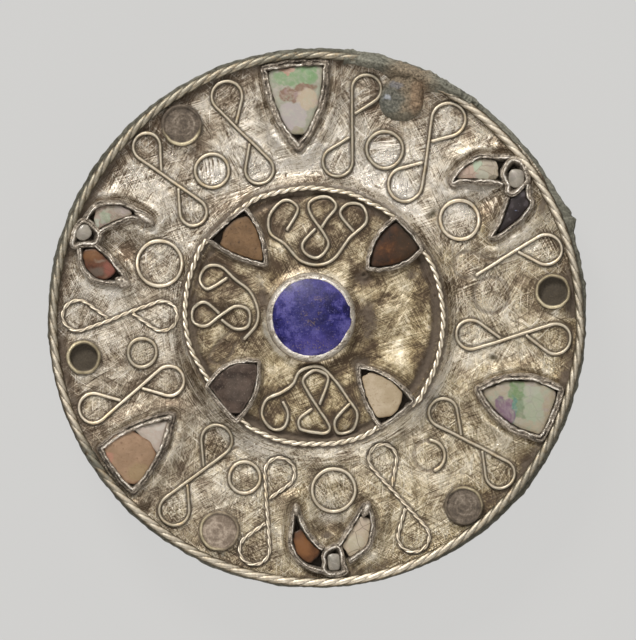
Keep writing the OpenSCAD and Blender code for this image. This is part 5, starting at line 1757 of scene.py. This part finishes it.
def nookBeads(low):
    turn = full * np.arange(48) / 48
    for i, (x, y, rx, ry, lean, power) in enumerate(beads["rows"]):
        a = turn - math.radians(lean)
        reach = np.abs(np.cos(a) / rx) ** power + np.abs(np.sin(a) / ry) ** power
        piece = Metalwork()
        points, faces, edge = stoneMesh(np.array([x, y]), reach ** (-1 / power), low,
                                        low + beads["height"], *beads["shape"], seeds["bead"] + i)
        piece.add(points, faces, edge=edge)
        piece.build(f"nook_bead_{i + 1}", finishes["bead"], "white_bead", f"leaf_bead_{i + 1}")


blue = {
    "rise": 1.1,
    "spokes": 128,
    "shares": np.concatenate([np.linspace(0.04, 0.94, 40), [0.97, 0.99, 1.0, 1.0]]),
    "chip": [[0.35, 4, 7]],  # depth, angle, width
    "foot": 0.2,
}


def cabochon():
    low, high = nodeBox("centre_stone")
    radius = (high[0] - low[0]) / 2
    turn = full * np.arange(blue["spokes"]) / blue["spokes"]
    shares = blue["shares"][:, None]
    edge = radius * (1 - 0.012 * np.abs(roundNoise(turn, 9, 0, 5)))
    chipped = swells(np.degrees(turn + 0.02) % 360, blue["chip"])
    edge = edge - chipped * (0.6 + 0.4 * np.abs(noise(turn * 30, 0, 0, 1, 2)))
    x = bezelMid[0] + shares * edge * np.cos(turn)
    y = bezelMid[1] + shares * edge * np.sin(turn)
    z = high[2] - 0.02 - blue["rise"] * shares ** 2.2 + np.zeros_like(x)
    z = z - 0.09 * np.maximum(0, noise(x, y, 0, 0.42, 31) - 0.5)
    z = z - 0.05 * np.maximum(0, noise(x, y, 0, 0.9, 37) - 0.4)
    z[-2] -= 0.15
    z[-1] = low[2] + blue["foot"]
    piece = Metalwork()
    points = np.stack([x, y, z], -1).reshape(-1, 3)
    values = np.broadcast_to(shares ** 8, x.shape).reshape(-1)
    piece.add(points, discFaces(len(shares), blue["spokes"]), edge=values)
    piece.build("blue_cabochon", finishes["blue"], "blue_stone", "centre_stone")


collarWall = {
    "spokes": 220,
    # outwards from the edge, share of the height, how far it counts as the shaded inner side
    "profile": [
        (0.14, -0.1, 0), (0.1, 0.2, 0), (-0.02, 0.5, 0), (-0.2, 0.74, 0), (-0.4, 0.9, 0),
        (-0.58, 0.98, 0), (-0.74, 0.99, 0), (-0.84, 0.93, 0.3), (-0.84, 0.7, 1), (-0.6, 0.0, 1),
    ],
    "worn": [[0.75, 2, 13]],  # where it is worn down: depth, angle, width
}


def bezel():
    low, high = nodeBox("centre_bezel")
    radius = (high[0] - low[0]) / 2 - 0.02
    spokes = collarWall["spokes"]
    angle = 360 * np.arange(spokes) / spokes
    turn = np.radians(angle)
    wave, fineWave = roundNoise(turn, 5, 0, 7), roundNoise(turn, 16, 0, 7)
    tall = (high[2] - low[2]) * (1 + 0.03 * wave + 0.03 * fineWave)
    tall = tall - swells((angle + 180) % 360 - 180, collarWall["worn"])
    away, up, inner = np.array(collarWall["profile"]).T
    points = []
    for rowAway, rowUp in zip(away, up):
        r = radius + rowAway + 0.07 * wave * rowUp
        points.append(np.column_stack([bezelMid + r[:, None] * turnTo(angle), low[2] + tall * rowUp]))
    piece = Metalwork()
    # lift gives the bezel's top the walls' painted highlight
    lift = np.clip(np.maximum(up, 0) * 1.6, 0, 1.2)
    piece.add(np.vstack(points), gridFaces(len(up), spokes, wrapRows=True),
              lift=np.repeat(lift, spokes), inner=np.repeat(inner, spokes), bent=0.75)
    piece.build("bezel_wall", finishes["wall"], "boss_silver", "centre_bezel")


triStones(levels["field"] + slabs["field"])
leafStones(levels["field"] + slabs["field"])
bossStones(levels["boss"] + slabs["boss"])
nookBeads(levels["field"])
cabochon()
bezel()
print("stones are set")


# Collars with their paste, and the crust over one of them

collars = {
    "spokes": 96,
    "floor": (0.05, 0.15, 0.25, 0.35, 0.45, 0.55, 0.65, 0.75, 0.85, 0.93, 1.0),  # shares of the inside
    # heights of the wall's rows under the top, then how metallic, bright and hollow each is; the brightness
    # is a painted highlight on the top rows
    "wallDrops": (0.08, 0, 0.08, 0.3),
    "foot": -0.25,
    "wallMetal": (0.6, 1, 1, 1, 0.6),
    "wallLift": (0.1, 0.4, 0.35, 0.15, 0.0),
    "wallHollow": (0.4, 0, 0, 0, 0),
    "emptyDepth": 0.5,  # a deeper one is empty
    # rings in the paste: amount, share of the inner radius
    "rings": ((1, 0.62), (0.8, 0.34)),
}


def collar(i):
    angle, radius, outer, inner, depth, rings, bright, more, side, pale = cups["rows"][i]
    middle, top, spokes = polar(angle, radius), cups["height"], collars["spokes"]
    turn = full * np.arange(spokes) / spokes
    isEmpty = depth > collars["emptyDepth"]
    floorRows = len(collars["floor"])
    r = np.concatenate([inner * np.array(collars["floor"]),
                        [inner + 0.05, (inner + outer) / 2, outer - 0.05, outer, outer]])
    wallTops = [top - drop for drop in collars["wallDrops"]]
    z = np.concatenate([np.full(floorRows, top - depth), wallTops, [collars["foot"]]])
    wobble = 1 + 0.03 * roundNoise(turn, 3, i, 3)
    x = middle[0] + r[:, None] * np.cos(turn) * wobble
    y = middle[1] + r[:, None] * np.sin(turn) * wobble
    z = z[:, None] + np.zeros_like(x)
    ringValue = np.zeros_like(x)
    if not isEmpty:
        away = np.hypot(x - middle[0] - rings[0], y - middle[1] - rings[1])
        ringValue = sum(amount * bump(away, share * inner, 0.12) for amount, share in collars["rings"])
        ringValue[floorRows:] = 0
        z = z + 0.07 * ringValue
    z = z + 0.04 * fractal(x, y, 0, 0.7, 2, seeds["collar"] + i)
    z[-1] = collars["foot"]
    # glint: a painted highlight on one side of the rim, which also sets how much of the wall shows as metal
    glint = bright + more * np.clip(np.cos(turn - math.radians(side)), 0, 1)
    metal = np.array([0] * floorRows + list(collars["wallMetal"]))[:, None]
    metal = metal * np.clip(0.35 + 1.5 * glint, 0, 1)
    lift = np.clip(np.array([0] * floorRows + list(collars["wallLift"]))[:, None] + glint, 0, 1.2)
    hollow = np.repeat([1] * floorRows + list(collars["wallHollow"]), spokes) * isEmpty
    piece = Metalwork()
    points = np.stack([x, y, z + levels["field"]], -1).reshape(-1, 3)
    piece.add(points, discFaces(len(r), spokes), ring=ringValue.reshape(-1), pale=pale,
              metal=metal.reshape(-1), lift=lift.reshape(-1), hollow=hollow)
    piece.build(f"collar_{i + 1}", finishes["cup"], "cup_silver", f"cup_{i + 1}")


crust = {
    "middle": (11.75, 30.3),
    "rings": 70,
    "spokes": 200,
    "reach": 3.2,
    "tongue": (2.4, 66),  # how much farther it reaches over the rim, and at which angle
    "rise": 1.35,
    "top": 12.9,
    "edge": 37.2,
    "shape": [[-0.45, 10.9, 30.5, 1.2, 1.5], [0.3, 9.6, 30.4, 0.42, 0.4]],  # a dip and a knob
    # the stretch along the rim
    "across": 30,
    "along": 260,
    "first": 84,
    "last": 53,
}


def crustLump():
    turn = full * np.arange(crust["spokes"]) / crust["spokes"]
    share = np.linspace(0.02, 1, crust["rings"])[:, None]
    reach = crust["reach"] + 0.08 * roundNoise(turn, 1.2, 3, 77) + 0.1 * roundNoise(turn, 6, 0, 62)
    farther, side = crust["tongue"]
    reach = reach + farther * np.maximum(0, np.cos(turn - math.radians(side))) ** 7
    x = crust["middle"][0] + share * reach * np.cos(turn)
    y = crust["middle"][1] + share * reach * np.sin(turn)
    out = np.hypot(x, y)
    over = levels["field"] + 0.3 * ease(out, 33.5, 35.8)
    dome = np.sqrt(np.maximum(0, 1 - share ** 2.6))
    lumps = fractal(x, y, 0, 1.5, 3, 63)
    bits = fractal(x, y, 0, 0.6, 3, 64)
    z = over + dome * (crust["rise"] + 0.22 * lumps) + 0.13 * bits * (1 - share ** 6)
    z = z + spots(x, y, crust["shape"])
    z = np.minimum(z - 0.35 * share ** 8, crust["top"])
    fall = ease(out, 36.2, crust["edge"])
    z = z * (1 - fall) + (levels["field"] + 0.3 * bits) * fall
    kept = np.minimum(1.0, crust["edge"] / out)
    piece = Metalwork()
    points = np.stack([x * kept, y * kept, z], -1).reshape(-1, 3)
    piece.add(points, discFaces(crust["rings"], crust["spokes"]))
    piece.add(*rimCrust())
    piece.build("crust_lump", finishes["crust"], "crust", "cup_2")


def rimCrust():  # the corroded stretch that hides the rim wire
    first, last, low = crust["first"], crust["last"], levels["field"]
    angle = np.linspace(first, last, crust["along"])[None, :]
    s = np.linspace(0, 1, crust["across"])[:, None]
    inner = 35.2 + 0.4 * noise(angle / 3.0, 0, 0, 1.0, 65) + 0.2 * noise(angle / 0.8, 0, 0, 1.0, 68)
    inner = inner + 1.1 * ease(-angle, -67, -57) - 1.6 * bump(angle, 69, 4.5)
    outer = 37.5 + 0.2 * noise(angle / 1.3, 4, 0, 1.0, 65) + 0.12 * noise(angle / 0.5, 4, 0, 1.0, 68)
    radius = inner + (outer - inner) * s
    x = radius * np.cos(np.radians(angle))
    y = radius * np.sin(np.radians(angle))
    lumps = fractal(x, y, 0, 1.3, 3, 66)
    bits = fractal(x, y, 0, 0.5, 2, 67)
    cover = ease(angle, last, last + 7) * ease(-angle, -first, 6 - first) + 0.2 * lumps
    bulge = bump(radius, 36.15 + 0.6 * ease(-angle, -67, -57), 0.85)
    z = low + 0.15 + (1.25 + 0.75 * cover) * bulge + (0.2 * lumps + 0.14 * bits) * (0.3 + bulge)
    z = z - 0.5 * (1 - ease(cover, 0.0, 0.5)) + 0.25 * noise(x, y, 0, 0.35, 69) * bulge
    z = np.minimum(z, crust["top"])
    z[0] = low - 0.4
    z[-1] = low - 1.2
    points = np.stack([x, y, z], -1).reshape(-1, 3)
    return points, gridFaces(crust["across"], crust["along"], wrapColumns=False)


for i in range(len(cups["rows"])):
    if i != cups["crusted"] - 1:
        collar(i)
crustLump()
print("collars are filled")


# The back plate with its corroded edge

back = {
    "sectors": 900,
    "radius": 37.36,
    "half": 37.47,  # it stays inside a square of this half width
    # what is added to the radius: amount, angle, width
    "flakes": [
        [0.85, 21.5, 3.0], [0.3, 28, 8], [0.2, 13, 2.0], [0.22, 66, 8], [0.2, 7, 2], [0.15, 320, 2],
        [0.15, 246, 3],
    ],
    "swells": [[-0.12, 175, 30], [0.2, 312, 20]],
    "innerTop": 36.2,
    # the edge from the top down: height, how far out from the radius, roughness
    "profile": [
        (10.95, 0.0, 0.0), (10.92, -0.4, 0.12), (10.75, -0.12, 0.12), (10.2, 0.0, 0.0), (9.3, -0.08, 0.0),
        (8.7, 0.0, 0.0), (8.2, 0.03, 0.0), (7.7, 0.0, 0.0), (7.3, 0.04, 0.0), (6.95, -0.02, 0.0),
        (levels["plateLow"], -0.3, 0.0),
    ],
    "under": np.linspace(36.3, 0.3, 40),  # radii of the rings underneath
    # paler or darker edge round the disc: pale corrosion at the upper right and bottom, darker at the upper
    # left, and painted shade at the lower right
    "pale": [[0.5, 42, 24], [0.3, 270, 20], [-0.5, 310, 24], [-0.35, 145, 18]],
}


def backPlate():
    low, sectors = levels["plateLow"], back["sectors"]
    angle = 360 * np.arange(sectors) / sectors
    turn = np.radians(angle)
    edgeX, edgeY = np.cos(turn) * 37, np.sin(turn) * 37
    lumps = fractal(edgeX, edgeY, 0, 2.2, 3, 81)
    bits = fractal(edgeX, edgeY, 0, 0.7, 2, 82)
    band = back["radius"] + 0.08 * lumps + 0.06 * bits
    band = band + swells(angle, back["flakes"]) * (0.9 + 0.25 * bits) + swells(angle, back["swells"])
    limit = back["half"] / np.maximum(np.abs(np.cos(turn)), np.abs(np.sin(turn)))
    band = np.minimum(band, limit)
    rows = []
    for z, away, rough in back["profile"]:
        r = band + away + 0.09 * fractal(edgeX, edgeY, z, 1.0, 2, 84)
        r = np.minimum(r, np.minimum(band + 0.02, limit))
        rows.append(np.column_stack([r[:, None] * turnTo(angle), np.full(sectors, z) + rough * bits]))
    rows[0][:, :2] = back["innerTop"] * turnTo(angle)
    fade = np.concatenate([np.ones(len(rows)), ease(back["under"], 22, 36)])
    for r in back["under"]:
        wave = 0.05 * (1 + fractal(r * np.cos(turn), r * np.sin(turn), 0, 3.0, 3, 86))
        wave = np.clip(wave, 0.0, 0.2) * ease(r, 0.3, 5.0)
        rows.append(np.column_stack([r * turnTo(angle), low + wave]))
    faces = gridFaces(len(rows), sectors)
    faces.append(list(range((len(rows) - 1) * sectors, len(rows) * sectors))[::-1])
    pale = 0.4 + (swells(angle, back["pale"]) - 0.05) * fade[:, None]
    piece = Metalwork()
    piece.add(np.vstack(rows), [f[::-1] for f in faces], pale=pale.reshape(-1))
    piece.build("back_disc", finishes["back"], "back_metal", "back_plate")


backPlate()
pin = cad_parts["brooch_pin"].data
pin.materials.clear()
pin.materials.append(finishes["pin"])
print("the back is on")


# Floor, light and camera

stage = {
    "size": 1.6,
    "tone": (0.02, 0.02, 0.02, 1),
    "glow": (0.597, 0.593, 0.582, 1),
    "floorRoughness": 0.9,
    "lights": {
        "key": {"size": 0.4, "place": (-0.36, 0.8, 0.78), "power": 11.6},
        "top": {"size": 1.2, "place": (-0.1, 0.2, 2.1), "power": 7.6},
        "fill": {"size": 0.9, "place": (0.15, -0.95, 0.46), "power": 4.2},
        "side": {"size": 0.5, "place": (0.7, 0.75, 0.6), "power": 2.4},
    },
    "world": 0.22,
    "warmth": (1.0, 0.955, 0.89),
    "cameraHeight": 1.5,
    "sensor": 36,
    "imageWidth": 88.605842,  # in millimetres at the height of the field
    "imageMiddle": (0.19, -0.28),
}


def setStage():
    mesh = bpy.data.meshes.new("floor")
    half = stage["size"] / 2
    mesh.from_pydata([(-half, -half, 0), (half, -half, 0), (half, half, 0), (-half, half, 0)], [],
                     [(0, 1, 2, 3)])
    floor = bpy.data.objects.new("floor", mesh)
    bpy.context.scene.collection.objects.link(floor)
    material = bpy.data.materials.new("floor")
    material.use_nodes = True
    surface = material.node_tree.nodes["Principled BSDF"]
    surface.inputs["Base Color"].default_value = stage["tone"]
    surface.inputs["Roughness"].default_value = stage["floorRoughness"]
    surface.inputs["Emission Color"].default_value = stage["glow"]
    surface.inputs["Emission Strength"].default_value = 1.0
    mesh.materials.append(material)
    for name, row in stage["lights"].items():
        light = bpy.data.lights.new(name, "AREA")
        light.shape = "DISK"
        light.size = row["size"]
        light.energy = row["power"]
        light.color = stage["warmth"]
        lamp = bpy.data.objects.new(name, light)
        lamp.location = row["place"]
        lamp.rotation_euler = (-Vector(row["place"])).to_track_quat("-Z", "Y").to_euler()
        bpy.context.scene.collection.objects.link(lamp)
    world = bpy.data.worlds.new("room")
    world.use_nodes = True
    background = world.node_tree.nodes["Background"]
    background.inputs["Color"].default_value = (*stage["warmth"], 1)
    background.inputs["Strength"].default_value = stage["world"]
    bpy.context.scene.world = world
    bpy.context.scene.view_settings.view_transform = "Standard"


def setCamera():
    camera = bpy.data.cameras.new("camera")
    camera.sensor_width = stage["sensor"]
    distance = stage["cameraHeight"] - levels["field"] * mm
    camera.lens = stage["sensor"] * distance / (stage["imageWidth"] * mm)
    camera.clip_end = 10
    eye = bpy.data.objects.new("camera", camera)
    middle = stage["imageMiddle"]
    eye.location = (middle[0] * mm, middle[1] * mm, stage["cameraHeight"])
    bpy.context.scene.collection.objects.link(eye)
    bpy.context.scene.camera = eye


setStage()
setCamera()
print("floor, lights and camera are set")
